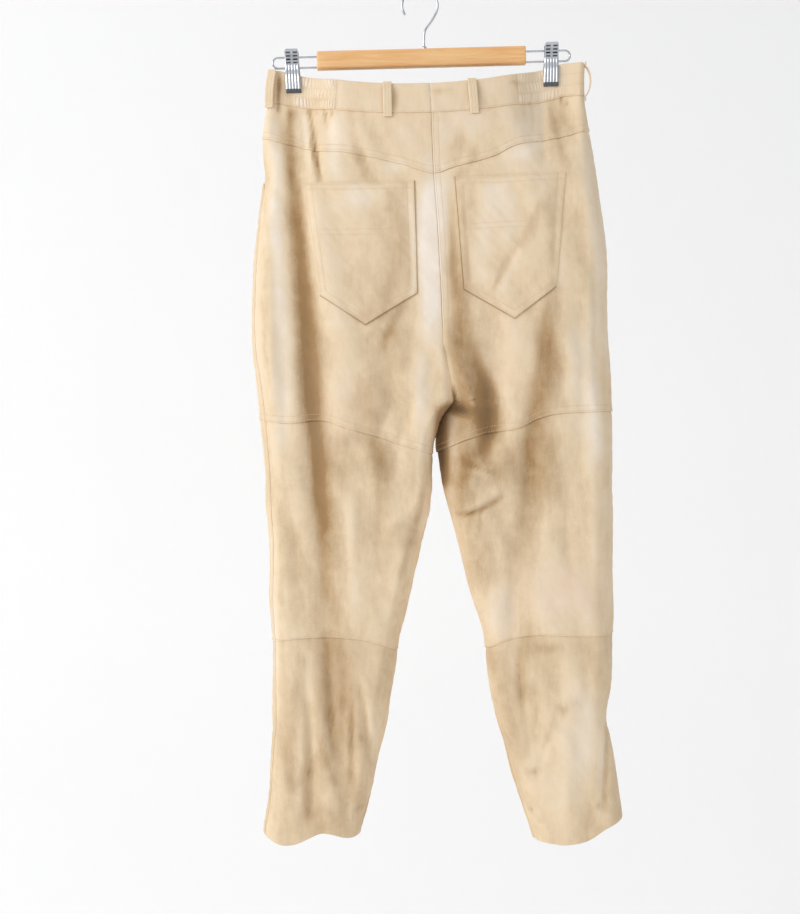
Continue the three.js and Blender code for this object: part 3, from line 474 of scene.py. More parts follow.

# A streak is a fold of tone: darker where its depth is positive, paler where negative. Some streaks
# are nap; many are painted shade along fold hollows, beside ridges and under the crotch.
NAP_AND_SHADE_STREAK = {"fade": 0.5, "wobble": 0.3}
STREAKS = {
    Face.BACK: made_from(Fold, (
        (-190, -150, -190, -190, -184, -220, 9, -0.35),
        (-150, -160, -148, -195, -144, -235, 3.5, -0.5),
        (-143, -153, -138, -195, -131, -247, 2.6, 1.0),
        (-125, -155, -123, -164, -121, -180, 2.2, 0.8),
        (-116, -154, -115, -160, -114, -168, 1.8, 0.6),
        (-92, -162, -82, -214, -65, -252, 8, 0.45), (-112, -170, -114, -205, -112, -246, 9, -0.4),
        (-20, -262, -16, -330, -18, -392, 4, -0.5), (-30, -404, -46, -430, -62, -462, 7, 0.4),
        (-20, -430, -12, -500, -20, -570, 12, -0.35),
        (-108, -640, -106, -700, -102, -770, 8, -0.3), (-50, -396, -60, -424, -76, -446, 7, 0.3),
        (-178, -680, -176, -750, -180, -812, 12, 0.25), (-8, -600, -16, -656, -42, -740, 5, 0.4),
        (-158, -836, -161, -900, -156, -960, 5, -0.4),
        # Painted shadow beside the lower leg's ridges: (-161, -900) and the rows at (-154, -926),
        # (-109, -880) and (-98, -880).
        (-161, -900, -163, -970, -167, -1040, 5, 0.35),
        (-190, -836, -192, -900, -192, -980, 12, -0.2),
        (-154, -926, -143, -962, -130, -1000, 4, 0.35),
        (-109, -880, -110, -940, -113, -1000, 3.4, 0.35),
        (-98, -880, -91, -930, -86, -990, 4, 0.35), (62, -218, 52, -236, 34, -246, 6, 0.35),
        (164, -150, 170, -195, 180, -244, 7, 0.3), (178, -148, 184, -176, 190, -206, 5, 0.3),
        (150, -152, 150, -180, 146, -210, 6, -0.35), (114, -344, 100, -372, 90, -392, 4, -0.35),
        (44, -262, 47, -320, 50, -374, 3.6, 0.35), (198, -280, 204, -380, 204, -500, 7, 0.3),
        (216, -400, 218, -520, 216, -640, 5, 0.25), (100, -430, 104, -490, 92, -540, 11, -0.2),
        # Painted shadow: (14, -540) on the inner leg below the crotch, (22, -532) in the hollow
        # under it.
        (14, -540, 12, -580, 13, -626, 9, 2.4), (22, -532, 34, -536, 46, -540, 6, 2.2),
        # Painted shadow: (30, -666) under a lit ridge on the inner thigh.
        (40, -596, 34, -640, 34, -664, 8, 0.35), (30, -666, 56, -663, 86, -646, 3.4, 0.5),
        # Painted shadow: (28, -507) in the fold notch beside the crotch, (44, -605) along a fold
        # below it.
        (28, -507, 30, -518, 31, -529, 1.6, 1.4), (44, -605, 60, -611, 76, -617, 3, 0.45),
        (60, -664, 57, -673, 56, -685, 2.6, 0.4), (66, -846, 80, -900, 97, -970, 8, 0.2),
        (176, -850, 182, -930, 162, -1010, 18, -0.3),
        # Painted shade: (210, -940) beside the crease near the right hem.
        (210, -940, 208, -990, 204, -1040, 4.6, 0.5),
    ), **NAP_AND_SHADE_STREAK),
    Face.FRONT: made_from(Fold, (
        # Painted shade in the two fold troughs of each front leg.
        (-60, -470, -90, -560, -110, -640, 12, 0.5), (80, -470, 104, -560, 116, -660, 12, 0.5),
        (-180, -240, -186, -360, -184, -480, 10, -0.5),
        (186, -240, 192, -360, 190, -480, 10, -0.5), (-40, -180, -44, -300, -40, -430, 14, -0.35),
        (60, -190, 64, -300, 60, -430, 14, -0.35), (10, -380, 10, -440, 12, -500, 12, 0.45),
        (-8, -520, -20, -570, -22, -640, 8, 0.5), (22, -520, 34, -570, 36, -640, 8, 0.5),
        (-170, -640, -166, -740, -172, -820, 12, -0.35),
        (180, -640, 176, -740, 182, -820, 12, -0.35),
        (-92, -860, -96, -930, -104, -1010, 7, 0.35), (110, -860, 112, -930, 122, -1010, 7, 0.35),
        (-20, -300, -18, -360, -16, -400, 6, -0.35),
    ), **NAP_AND_SHADE_STREAK),
}


@dataclass(frozen=True)
class Band:
    """A long soft stripe of darker or paler tone that runs down the cloth: partly nap, partly
    painted shade in fold hollows and painted highlight on lit ridges.

    Each row has a height, a middle, a reach to the left and to the right, and a tone.
    """

    rows: tuple[tuple[float, float, float, float, float], ...]

    def add_to(self, total: Array, x: Array, height: Array) -> None:
        """Adds this band's tone to total at the places across and up."""
        rows = np.array(self.rows)[::-1]
        values = (np.interp(height, rows[:, 0], rows[:, k]) for k in range(1, 5))
        middle, left, right, tone = values
        away = x - middle
        total += tone * bell(away, np.where(away < 0, left, right), 2.4)


# Dark bands are painted shade on the shadow side of the main folds and in the hollows by the
# crotch, over darker nap; the pale band near x -185 is paler nap with a painted highlight along its
# lit ridge.
BANDS = {
    Face.BACK: [Band(rows) for rows in (
        (
            (-146, -165, 6, 7, 0), (-153, -165, 8, 8, 0.5), (-191, -168, 12, 9, 0.5),
            (-257, -162, 9, 8, 0.85), (-328, -157, 12, 10, 1.05), (-400, -153, 13, 14, 0.95),
            (-471, -149, 14, 15, 1.05), (-507, -147, 15, 14, 1.04), (-542, -147, 14, 12, 1.1),
            (-597, -144, 9, 15, 1.16), (-656, -142, 10, 15, 1.04), (-736, -137, 9, 9, 0.4),
            (-785, -131, 15, 18, 0.4), (-815, -129, 17, 19, 0.25), (-866, -131, 18, 20, 0.25),
            (-933, -130, 14, 14, 0.23), (-1013, -131, 10, 10, 0),
        ),
        (
            (-195, -187, 7, 8, 0), (-223, -185, 8, 9, -0.5), (-280, -188, 8, 9, -0.85),
            (-446, -182, 13, 14, -0.6), (-518, -183, 14, 13, -0.55), (-586, -196, 9, 11, -0.35),
            (-655, -200, 6, 8, -0.3), (-852, -203, 5, 6, -0.4), (-951, -204, 5, 6, 0),
        ),
        (
            (-253, -47, 6, 11, 0), (-265, -44, 7, 12, 0.35), (-320, -31, 11, 9, 0.35),
            (-379, -45, 12, 11, 0.28), (-402, -63, 14, 14, 0.24), (-416, -73, 12, 12, 0),
        ),
        (
            (-563, -69, 16, 16, 0), (-579, -68, 16, 16, 0.6), (-619, -65, 18, 16, 0.6),
            (-658, -60, 18, 12, 0.3), (-688, -59, 16, 12, 0),
        ),
        (
            (-228, 10, 9, 12, 0), (-262, 8, 12, 12, -0.55), (-321, 4, 13, 14, -0.75),
            (-392, 5, 12, 14, -0.7), (-475, 4, 12, 12, 0),
        ),
        (
            (-243, 8, 9, 12, 0), (-276, 5, 13, 14, -0.7), (-333, 2, 14, 14, -0.8),
            (-404, 3, 14, 12, -0.65), (-451, 5, 14, 12, -0.2), (-487, 9, 14, 12, 0),
        ),
        (
            (-257, 29, 5, 7, 0), (-293, 29, 5, 8, 0.63), (-381, 33, 6, 9, 0.84),
            (-452, 46, 14, 17, 0.84), (-488, 61, 16, 17, 0.85), (-512, 68, 16, 14, 1.15),
            (-536, 70, 15, 12, 1.6), (-560, 69, 14, 13, 1.7), (-580, 66, 13, 12, 1.2),
            (-612, 58, 12, 10, 0),
        ),
        (
            (-408, 27, 9, 9, 0), (-436, 27, 9, 10, 0.45), (-464, 29, 10, 12, 0.65),
            (-490, 36, 10, 13, 0.95), (-514, 41, 10, 13, 1.15), (-551, 41, 12, 14, 1.15),
            (-576, 41, 13, 14, 0.85), (-625, 38, 18, 15, 0.72), (-650, 44, 20, 22, 0.52),
            (-687, 52, 28, 28, 0.36), (-740, 58, 26, 24, 0.4), (-778, 66, 20, 20, 0),
        ),
        (
            (-370, 157, 9, 9, 0), (-403, 152, 9, 14, 0.48), (-455, 143, 13, 23, 1.08),
            (-479, 141, 13, 25, 1.14), (-550, 128, 13, 22, 0.9), (-564, 124, 13, 22, 0.93),
            (-624, 121, 13, 28, 0.96), (-643, 119, 13, 29, 0.88), (-663, 116, 13, 25, 0.74),
            (-687, 113, 13, 25, 0.62), (-710, 109, 14, 24, 0.44), (-742, 106, 14, 20, 0.28),
            (-791, 110, 10, 10, 0.23), (-821, 110, 8, 9, 0.41), (-861, 106, 8, 9, 0.41),
            (-920, 102, 8, 9, 0),
        ),
        (
            (-247, 86, 12, 12, 0), (-263, 82, 14, 14, -0.55), (-346, 65, 11, 14, -0.35),
            (-382, 59, 7, 12, 0),
        ),
        (
            (-268, 147, 6, 12, 0), (-286, 141, 7, 14, 0.36), (-310, 130, 6, 14, 0.36),
            (-329, 119, 5, 12, 0.23), (-345, 110, 5, 9, 0),
        ),
        (
            (-342, 99, 2, 5, 0), (-359, 93, 3, 6, 0.35), (-378, 85, 3, 6, 0.4),
            (-392, 79, 2, 5, 0),
        ),
        (
            (-428, 188, 12, 14, 0), (-456, 186, 14, 17, -0.42), (-516, 188, 14, 17, -0.54),
            (-563, 201, 17, 17, -0.6), (-590, 208, 17, 14, -0.48), (-616, 194, 16, 16, 0),
        ),
    )],
    Face.FRONT: [Band(rows) for rows in (
        (
            (-150, -160, 8, 8, 0), (-190, -158, 10, 10, 0.5), (-320, -146, 12, 14, 0.8),
            (-480, -142, 14, 14, 0.7), (-620, -134, 12, 14, 0.6), (-760, -126, 12, 12, 0.4),
            (-900, -124, 12, 12, 0.45), (-1040, -128, 10, 10, 0),
        ),
        (
            (-160, 146, 8, 8, 0), (-220, 146, 12, 12, 0.55), (-360, 144, 14, 14, 0.75),
            (-500, 134, 12, 16, 0.8), (-640, 118, 12, 16, 0.7), (-780, 112, 12, 14, 0.4),
            (-920, 120, 12, 12, 0.4), (-1040, 136, 10, 10, 0),
        ),
    )],
}


@dataclass(frozen=True)
class Patch:
    """A soft-edged place where the cloth is darker, paler, pinker or stained: mostly nap and
    stains, with painted shadow and painted highlight in places.
    """

    x: float
    z: float
    wide: float
    tall: float
    tone: float = 0.0
    blush: float = 0.0
    stain: float = 0.0
    lean: float = 0.0

    def share(self, x: Array, z: Array) -> Array:
        """How strongly the patch shows at each place."""
        c, s = math.cos(math.radians(self.lean)), math.sin(math.radians(self.lean))
        across = ((x - self.x) * c + (z - self.z) * s) / self.wide
        up = ((z - self.z) * c - (x - self.x) * s) / self.tall
        return np.exp(-((across * across + up * up) ** 1.25))


PATCHES = {
    Face.BACK: made_from(Patch, (
        # Painted shadow: (36, -532) in the fold notch beside the crotch.
        (36, -532, 5, 6, 0.6), (-103, -455, 26, 34, 0.34), (-48, -452, 10, 28, 0.25),
        (-122, -697, 20, 60, 0.36), (-195, -790, 7, 84, 0.3), (-174, -885, 9, 55, 0.26),
        (-42, -694, 24, 18, 0.34), (-199, -560, 9, 300, 0.32), (-124, -605, 38, 130, 0.38),
        (-77, -525, 16, 52, 0.8), (-24, -455, 30, 34, 0.32), (-25, -575, 9, 90, 0.36),
        (205, -400, 8, 170, -0.6), (218, -400, 8, 150, -0.4), (141, -393, 18, 44, 0.34),
        (48, -388, 7, 32, 0.36), (138, -176, 14, 40, -0.4), (25, -300, 6, 44, -0.5),
        (101, -285, 14, 58, -0.4), (-168, -198, 5, 52, 0.45), (-132, -180, 6, 18, 0.36),
        (-188, -660, 9, 60, 0.28), (85, -548, 7, 32, 0.42), (-111, -1040, 15, 18, -0.45),
        (-151, -982, 10, 34, 0.4), (-85, -945, 8, 34, -0.4), (206, -985, 7, 34, -0.5),
        # Painted highlight: (10, -104) along the band's top edge.
        (152, -598, 12, 50, 0.3), (10, -104, 130, 5, -0.5), (-131, -142, 15, 13, 0.3),
        # Painted shadow: (-181, -117), (-182.5, -136) and (-183, -150) beside the left side loop.
        (-38, -232, 18, 9, -0.45), (7, -228, 8, 16, -0.45), (-181, -117, 3, 12, 1.2),
        (-182.5, -136, 2.6, 14, 1.0), (-183, -150, 3.2, 5, 0.7), (-172, -128, 6, 20, 0.35),
        # Painted shade in the gathers below the band: (-145, -154.5) to (-111.5, -160).
        (-145, -154.5, 1.8, 3, 0.6), (-134, -157, 1.6, 2.6, 0.6), (-122.5, -159, 1.6, 2.6, 0.55),
        # Painted shadow beside the back loops: (-37, -148) and (67, -144).
        (-111.5, -160, 1.4, 2.4, 0.5), (-37, -148, 5, 16, 0.5), (67, -144, 5, 16, 0.5),
        (57, -548, 5, 16, 0.5), (116, -127, 7, 4, 0.5), (22, -137, 13, 5, 0.4),
        # Painted shade in the gathers below the band: (176, -145), (182, -151) and (135, -152).
        (176, -145, 2, 5, 0.8), (182, -151, 2, 2.4, 0.5), (135, -152, 1.6, 2.6, 0.7),
        (165, -178, 14, 17, 0.12), (-168, -156, 4, 10, 0.4), (44, -200, 9, 30, 0.35, 0, 0, -14),
        (92, -172, 30, 14, -0.2, 0.4), (-100, -190, 26, 26, -0.3, 0.4),
        (-20, -190, 24, 30, -0.15, 0.4), (-80, -268, 26, 13, -0.5), (-124, -290, 20, 26, -0.15),
        (-90, -380, 40, 30, 0.2), (-76, -418, 24, 9, 0.3), (-150, -215, 18, 30, 0.15),
        (-100, -600, 60, 20, 0.25), (-100, -570, 26, 12, 0.3), (-26, -590, 20, 20, -0.25),
        (54, -180, 34, 18, -0.3, 0.25), (90, -170, 20, 22, 0.2), (118, -218, 16, 10, -0.5),
        (70, -374, 16, 14, -0.35), (153, -330, 7, 50, 0.35), (90, -606, 26, 30, 0.42),
        (54, -606, 28, 26, 0.4), (160, -770, 56, 44, -0.3, 0.6), (80, -790, 20, 40, -0.35, 0.35),
        (140, -838, 18, 7, 0.3), (110, -892, 11, 12, 0.35), (60, -846, 16, 20, 0.3),
        (168, -950, 50, 80, -0.32), (-64, -860, 16, 50, 0.15), (-200, -860, 10, 120, -0.25),
        (-136, -1042, 46, 22, 0.38), (-190, -930, 15, 70, 0.24), (170, -905, 9, 11, 0, 0, 0.2),
        (154, -914, 7, 7, 0, 0, 0.32), (143, -934, 6, 20, 0, 0, 0.2, -28),
        (119, -930, 6, 26, 0, 0, 0.2), (117, -990, 8, 5, 0, 0, 0.42),
        (196, -1036, 4, 5, 0, 0, 0.4), (186, -1056, 4, 4, 0, 0, 0.25),
        (112, -1040, 3, 4, 0, 0, 0.4), (-102, -1032, 6, 4, 0, 0, 0.35),
        (-98, -942, 3, 6, 0, 0, 0.35), (-170, -846, 7, 7, 0, 0, 0.2),
        (-48, -286, 5, 4, 0, 0, 0.3), (-112, -520, 40, 60, 0, 0.25), (100, -470, 40, 50, 0, 0.3),
        (10, -340, 20, 90, 0, 0.35),
    )),
    Face.FRONT: made_from(Patch, (
        (-110, -260, 60, 60, 0.3), (100, -330, 50, 90, -0.35), (-80, -620, 50, 70, -0.3, 0.3),
        (120, -620, 60, 80, 0.3), (-140, -920, 50, 70, 0.25), (150, -950, 60, 70, -0.25),
        (60, -470, 40, 40, 0.2, 0.3), (-150, -1010, 7, 7, 0, 0, 0.4),
        (140, -880, 8, 10, 0, 0, 0.35),
    )),
}

# Streaks and bands of tone: nap, painted shade and painted highlight.
NAP_AND_SHADE_MARKS = {face: STREAKS[face] + BANDS[face] for face in Face}


def marks_at(table: dict[Face, list], x: Array, height: Array, back: Array) -> Array:
    """The sum of a table's folds, streaks or bands at each place.

    Args:
        table: The marks of each face.
        x: Distances across.
        height: Heights.
        back: True where the place is on the back.

    Returns:
        The sums.
    """
    total = np.zeros(x.shape)
    for face, there in ((Face.BACK, back), (Face.FRONT, ~back)):
        if there.any():
            part = np.zeros(int(there.sum()))
            for mark in table[face]:
                mark.add_to(part, x[there], height[there])
            total[there] = part
    return total


@dataclass(frozen=True)
class Waves:
    """Low uneven ripples of the cloth, longer up and down than across."""

    seed: int
    count: int
    across: tuple[float, float]
    stretch: float
    rise: float

    def height(self, x: Array, y: Array, z: Array) -> Array:
        """How far the cloth stands out at each place.

        Args:
            x: Distances across.
            y: Distances through, which tell the back from the front.
            z: Heights.

        Returns:
            The height of the ripples.
        """
        chance = np.random.default_rng(self.seed)
        total = np.zeros(np.shape(x))
        for _ in range(self.count):
            length = chance.uniform(*self.across)
            tilt = chance.normal(0.0, 0.5)
            phase = chance.uniform(0.0, 2.0 * math.pi)
            shift = chance.uniform(0.3, 0.9)
            along = (x + tilt * z / self.stretch) / length + z / (length * self.stretch)
            total += np.sin(2.0 * math.pi * along + phase + shift * np.sign(y) * 2.0)
        return self.rise * total / math.sqrt(self.count)


BROAD_WAVES = Waves(seed=11, count=9, across=(45.0, 120.0), stretch=3.2, rise=1.3)
FINE_WAVES = Waves(seed=23, count=14, across=(12.0, 34.0), stretch=1.9, rise=0.26)


class HangingCloth:
    """The cloth of one half: where each turn and height lies, and which way it faces."""

    def __init__(self, side: Side) -> None:
        """Keeps the side and its fixed sizes."""
        self.side = side
        self.crotch_round = float(LEGS[side].column("innerRound", CROTCH_HEIGHT))

    def section(self, height: Array) -> dict[str, Array]:
        """The sizes of the section at each height.

        Args:
            height: Heights.

        Returns:
            An array for each named size.
        """
        body = BODY.at(height)
        above = {
            **body, "outer": body[self.side.value], "inner": body["centre"],
            "innerRound": self.crotch_round, "lean": 0.0,
        }
        below = {"crest": 0.5, "arch": 0.15, **LEGS[self.side].at(height)}
        upper = height >= CROTCH_HEIGHT
        return {name: np.where(upper, above[name], below[name]) for name in below}

    @staticmethod
    def seat_turn(height: Array) -> Array:
        """How far the seat seam has turned under the body."""
        share = (CLEFT_HEIGHT - height) / (CLEFT_HEIGHT - CROTCH_HEIGHT)
        return np.arcsin(np.clip(share, 0.0, 1.0))

    def lengths(self, back: Array, height: Array) -> dict[str, Array]:
        """The section's arcs and flat, as measured round the cloth.

        Args:
            back: True where the place is on the back.
            height: Heights.

        Returns:
            The section's sizes with depth, under, width, inner_arc, flat and outer_arc.
        """
        row = self.section(height)
        row["depth"] = np.where(back, row["back"], row["front"])
        row["under"] = self.seat_turn(height)
        row["width"] = np.abs(row["outer"] - row["inner"]) - SEAM_GAP / 2
        row["inner_arc"] = row["under"] * (row["innerRound"] + row["depth"]) / 2
        row["outer_arc"] = math.pi * (row["round"] + row["depth"]) / 4
        row["flat"] = row["width"] - row["round"] - row["innerRound"] * np.sin(row["under"])
        return row

    def girth(self, turn: Array, height: Array) -> Array:
        """Millimetres of cloth for each whole turn, at a place."""
        row = self.lengths(turn < 0.5, height)
        return 2.0 * (row["inner_arc"] + row["flat"] + row["outer_arc"])

    def bare(self, turn: Array, height: Array) -> tuple[Array, Array, dict[str, Array], Array]:
        """Where the section stands before its folds.

        Args:
            turn: Turns.
            height: Heights.

        Returns:
            Distances across, the lift from 0 at a fold to 1, the section, and the distance
            from the inner edge.
        """
        back = turn < 0.5
        row = self.lengths(back, height)
        reach = np.where(back, 2.0 * turn, 2.0 - 2.0 * turn)
        along = reach * (row["inner_arc"] + row["flat"] + row["outer_arc"])
        inner_arc = np.maximum(row["inner_arc"], 1e-9)
        inner = row["under"] * (1.0 - along / inner_arc)
        outer = (along - row["inner_arc"] - row["flat"]) / row["outer_arc"] * (math.pi / 2)
        under = row["innerRound"] * np.sin(row["under"])
        in_arc = along < row["inner_arc"]
        out_arc = along > row["inner_arc"] + row["flat"]
        across = under + along - row["inner_arc"]
        across = np.where(in_arc, under - row["innerRound"] * np.sin(inner), across)
        turned = row["width"] - row["round"] + row["round"] * np.sin(outer)
        across = np.where(out_arc, turned, across)
        lift = np.where(in_arc, np.cos(inner), np.where(out_arc, np.cos(outer), 1.0))
        x = row["inner"] + self.side.hand * (SEAM_GAP / 2 + across)
        return x, lift, row, across

    def pinch(self, x: Array, height: Array) -> Array:
        """The share of the clip's pinch at each place."""
        off = np.maximum(0.0, np.abs(x - CLIP_AT[self.side]) - CLIP_FLAT) / CLIP_EASE
        below = ease((PINCH_LIP - height) / (PINCH_LIP - PINCH_END))
        return np.exp(-off * off) * (1.0 - below)

    def point(self, turn: Array, height: Array) -> Array:
        """The cloth's outer face.

        Args:
            turn: Turns.
            height: Heights.

        Returns:
            Points, with a last axis of three.
        """
        turn, height = same_shape(turn, height)
        x, lift, row, across = self.bare(turn, height)
        crest, back = row["crest"], turn < 0.5
        off = (across / row["width"] - crest) / np.maximum(crest, 1.0 - crest)
        folds = marks_at(MAIN_FOLDS, x, height, back)
        plain = row["depth"] * (1.0 - row["arch"] * off * off) + folds
        deep = mix(plain, CLIP_GRIP, self.pinch(x, height))
        lean = row["lean"] * (1.0 - ease(across / LEAN_REACH))
        y = np.where(back, -1.0, 1.0) * lift * deep + lean
        return np.stack([x, y, height + 0.0 * x], axis=-1)

    def facing(self, turn: Array, height: Array) -> Array:
        """The way out of the cloth, as unit arrows.

        Args:
            turn: Turns.
            height: Heights.

        Returns:
            Arrows, with a last axis of three.
        """
        turn, height = same_shape(turn, height)
        step, lift = 0.0025, 0.9
        onward = self.point(np.minimum(1.0, turn + step), height)
        onward = onward - self.point(np.maximum(0.0, turn - step), height)
        up = self.point(turn, height + lift) - self.point(turn, height - lift)
        return unit(np.cross(up, onward) if self.side is Side.LEFT else np.cross(onward, up))

    def creases(self, points: Array, turn: Array) -> Array:
        """The finer creases and ripples that stand on the section.

        Args:
            points: Points of the cloth.
            turn: Their turns.

        Returns:
            How far each place stands out.
        """
        x, y, z = points[..., 0], points[..., 1], points[..., 2]
        total = marks_at(CREASES, x, z, np.broadcast_to(turn < 0.5, x.shape))
        free = 1.0 - self.pinch(x, z)
        band = ease((CALM_FOOT - z) / CALM_REACH)
        total += BROAD_WAVES.height(x, y, z) * free * mix(0.25, 1.0, band)
        return total + FINE_WAVES.height(x, y, z) * free

    def line(self, line: Line, turn: Array) -> Array:
        """The height of a line across the garment at each turn.

        Args:
            line: The line.
            turn: Turns.

        Returns:
            Heights.
        """
        turn = np.asarray(turn, float)
        height = np.full(turn.shape, line.value)
        for _ in range(4):
            x = self.bare(turn, height)[0]
            back, front = (line_height(line, x, self.side, face) for face in Face)
            height = np.where(turn < 0.5, back, front)
        return height

    def turn_at(self, x: Array, height: Array, face: Face) -> Array:
        """The turn that lies at a distance across.

        Args:
            x: Distances across.
            height: Heights.
            face: The face that is meant.

        Returns:
            Turns.
        """
        x, height = same_shape(x, height)
        row = self.lengths(np.full(x.shape, face is Face.BACK), height)
        across = np.clip((x - row["inner"]) * self.side.hand - SEAM_GAP / 2, 0, row["width"])
        under = row["innerRound"] * np.sin(row["under"])
        along = across - under + row["inner_arc"]
        turned = np.clip((across - row["width"] + row["round"]) / row["round"], 0.0, 1.0)
        outer = np.arcsin(turned) / (math.pi / 2) * row["outer_arc"]
        flat_end = row["inner_arc"] + row["flat"]
        along = np.where(across > row["width"] - row["round"], flat_end + outer, along)
        inside = np.clip((under - across) / row["innerRound"], 0.0, 1.0)
        share = np.arcsin(inside) / np.maximum(row["under"], 1e-9)
        along = np.where(across < under, row["inner_arc"] * (1.0 - share), along)
        reach = along / (flat_end + row["outer_arc"])
        return reach / 2.0 if face is Face.BACK else 1.0 - reach / 2.0


def line_height(line: Line, x: Array, side: Side, face: Face) -> Array:
    """The height of a line by distance across.

    Args:
        line: The line.
        x: Distances across.
        side: The half.
        face: The back or the front.

    Returns:
        Heights.
    """
    if line in (Line.WAIST_EDGE, Line.WAIST_SEAM):
        share = np.clip(np.abs(x) / BAND_SAG_REACH, 0.0, 1.0)
        drop = FRONT_WAIST_DROP * (1.0 - share * share) if face is Face.FRONT else 0.0
        edge = BAND_ENDS_HEIGHT - BAND_SAG * (1.0 - share**BAND_SAG_POWER) - drop
        return edge - (mix(*BAND_WIDTH, share * share) if line is Line.WAIST_SEAM else 0.0)
    if line is Line.FACING_FOOT:
        return np.full(np.shape(x), line.value)
    table = {
        Line.YOKE: YOKE_SEAM,
        Line.THIGH: THIGH_SEAM[side],
        Line.KNEE: KNEE_SEAM[side],
        Line.HEM: HEM[(side, face)],
    }[line]
    return table.column("height", x)


# ---------------------------------------------------------------------- mesh building


def mesh_object(
    name: str, points: Array, faces: Sequence, material: bpy.types.Material, angle: float = 50.0
) -> bpy.types.Object:
    """A smooth-shaded object made from points and faces.

    Args:
        name: The object's name.
        points: Points in millimetres.
        faces: Rows of corner numbers.
        material: The finish.
        angle: Edges bent more than this many degrees stay sharp.

    Returns:
        The object, linked to the scene.
    """
    mesh = bpy.data.meshes.new(name)
    mesh.from_pydata((np.asarray(points).reshape(-1, 3) * MM).tolist(), [], list(faces))
    mesh.validate()
    mesh.shade_smooth()
    mesh.set_sharp_from_angle(angle=math.radians(angle))
    mesh.materials.append(material)
    made = bpy.data.objects.new(name, mesh)
    bpy.context.scene.collection.objects.link(made)
    return made


def grid_faces(rows: int, columns: int, first: int = 0, flip: bool = False) -> Array:
    """Quads over a grid of points laid out row by row.

    Args:
        rows: Rows of points.
        columns: Columns of points.
        first: The number of the grid's first point.
        flip: True to turn the quads over.

    Returns:
        Corner numbers, four to a row.
    """
    at = first + np.arange(rows * columns).reshape(rows, columns)
    quads = [at[:-1, :-1], at[:-1, 1:], at[1:, 1:], at[1:, :-1]]
    if flip:
        quads.reverse()
    return np.stack(quads, axis=-1).reshape(-1, 4)


def shell(outer: Array, inner: Array, flip: bool) -> tuple[Array, list[list[int]]]:
    """A closed wall between two grids of points.

    Args:
        outer: The outer grid.
        inner: The inner grid.
        flip: True to turn the faces over.

    Returns:
        The points, and the quads.
    """
    rows, columns = outer.shape[:2]
    size = rows * columns
    at = np.arange(size).reshape(rows, columns)
    rim = np.concatenate([at[0, :-1], at[:-1, -1], at[-1, :0:-1], at[:0:-1, 0]])
    after = np.roll(rim, -1)
    walls = np.stack([after, rim, rim + size, after + size], axis=-1)
    walls = walls[:, ::-1] if flip else walls
    faces = [grid_faces(rows, columns, 0, flip), grid_faces(rows, columns, size, not flip), walls]
    points = np.concatenate([outer.reshape(-1, 3), inner.reshape(-1, 3)])
    return points, np.concatenate(faces).tolist()


def tube_faces(rings: int, sides: int) -> list[list[int]]:
    """Quads round a row of closed rings, with a flat face at each end.

    Args:
        rings: How many rings there are.
        sides: How many points each has.

    Returns:
        Rows of corner numbers.
    """
    faces: list[list[int]] = []
    for low in range(0, (rings - 1) * sides, sides):
        for k in range(sides):
            after, high = (k + 1) % sides, low + sides
            faces.append([low + k, low + after, high + after, high + k])
    faces.append(list(range(sides))[::-1])
    faces.append([(rings - 1) * sides + k for k in range(sides)])
    return faces


@contextmanager
def reworked(obj: bpy.types.Object) -> Iterator[bmesh.types.BMesh]:
    """Opens an object's mesh for changes, and puts it back after them."""
    work = bmesh.new()
    work.from_mesh(obj.data)
    yield work
    work.to_mesh(obj.data)
    work.free()


def mesh_clean(obj: bpy.types.Object) -> None:
    """Joins points that lie on each other and drops faces with no area."""
    with reworked(obj) as work:
        bmesh.ops.remove_doubles(work, verts=work.verts, dist=SAME_PLACE)
        bmesh.ops.dissolve_degenerate(work, edges=work.edges, dist=SAME_PLACE)


def face_out(obj: bpy.types.Object) -> None:
    """Turns every face of a closed mesh outward."""
    with reworked(obj) as work:
        bmesh.ops.recalc_face_normals(work, faces=work.faces)


def drop_loose(obj: bpy.types.Object) -> None:
    """Removes the points that no face uses."""
    with reworked(obj) as work:
        loose = [vert for vert in work.verts if not vert.link_faces]
        bmesh.ops.delete(work, geom=loose, context="VERTS")


def put_floats(obj: bpy.types.Object, name: str, values: Array) -> None:
    """Gives each point of an object a number that its finish can read."""
    layer = obj.data.attributes.new(name, "FLOAT", "POINT")
    layer.data.foreach_set("value", np.asarray(values, np.float32).ravel())


def dress(obj: bpy.types.Object, slot: str, *nodes: str) -> bpy.types.Object:
    """Sets an object in the frame, in place of the solids that it stands for.

    Args:
        obj: The object.
        slot: A name for its finish, which is only logged.
        nodes: The solids' names.

    Returns:
        The same object.
    """
    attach(obj, BODY_NAME)
    if nodes:
        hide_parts(*nodes)
    LOG.info("%s: %d points, slot %s, for %s", obj.name, len(obj.data.vertices), slot, nodes)
    return obj


def ramp(length: float, step: float, start: Sequence[float], end: Sequence[float]) -> int:
    """How many regular steps lie between two sets of close-set insets."""
    return max(1, int(round((length - start[-1] - end[-1]) / step)) - 1)


def stepped(marks: Sequence[float], step: float) -> Array:
    """Marks in order, with even steps of about one length between them.

    Args:
        marks: The marks, which only rise or only fall.
        step: The length.

    Returns:
        The marks and the steps.
    """
    found = [marks[0]]
    for mark in marks[1:]:
        count = max(1, int(round(abs(mark - found[-1]) / step)))
        found += list(np.linspace(found[-1], mark, count + 1)[1:])
    return np.array(found)


def nearest(values: Array, mark: float) -> int:
    """The number of the value that is nearest to a mark."""
    return int(np.argmin(abs(values - mark)))


def unit(arrows: Array) -> Array:
    """The same arrows, each of length one."""
    return arrows / np.maximum(np.linalg.norm(arrows, axis=-1, keepdims=True), 1e-9)


# --------------------------------------------------------------------------- finishes


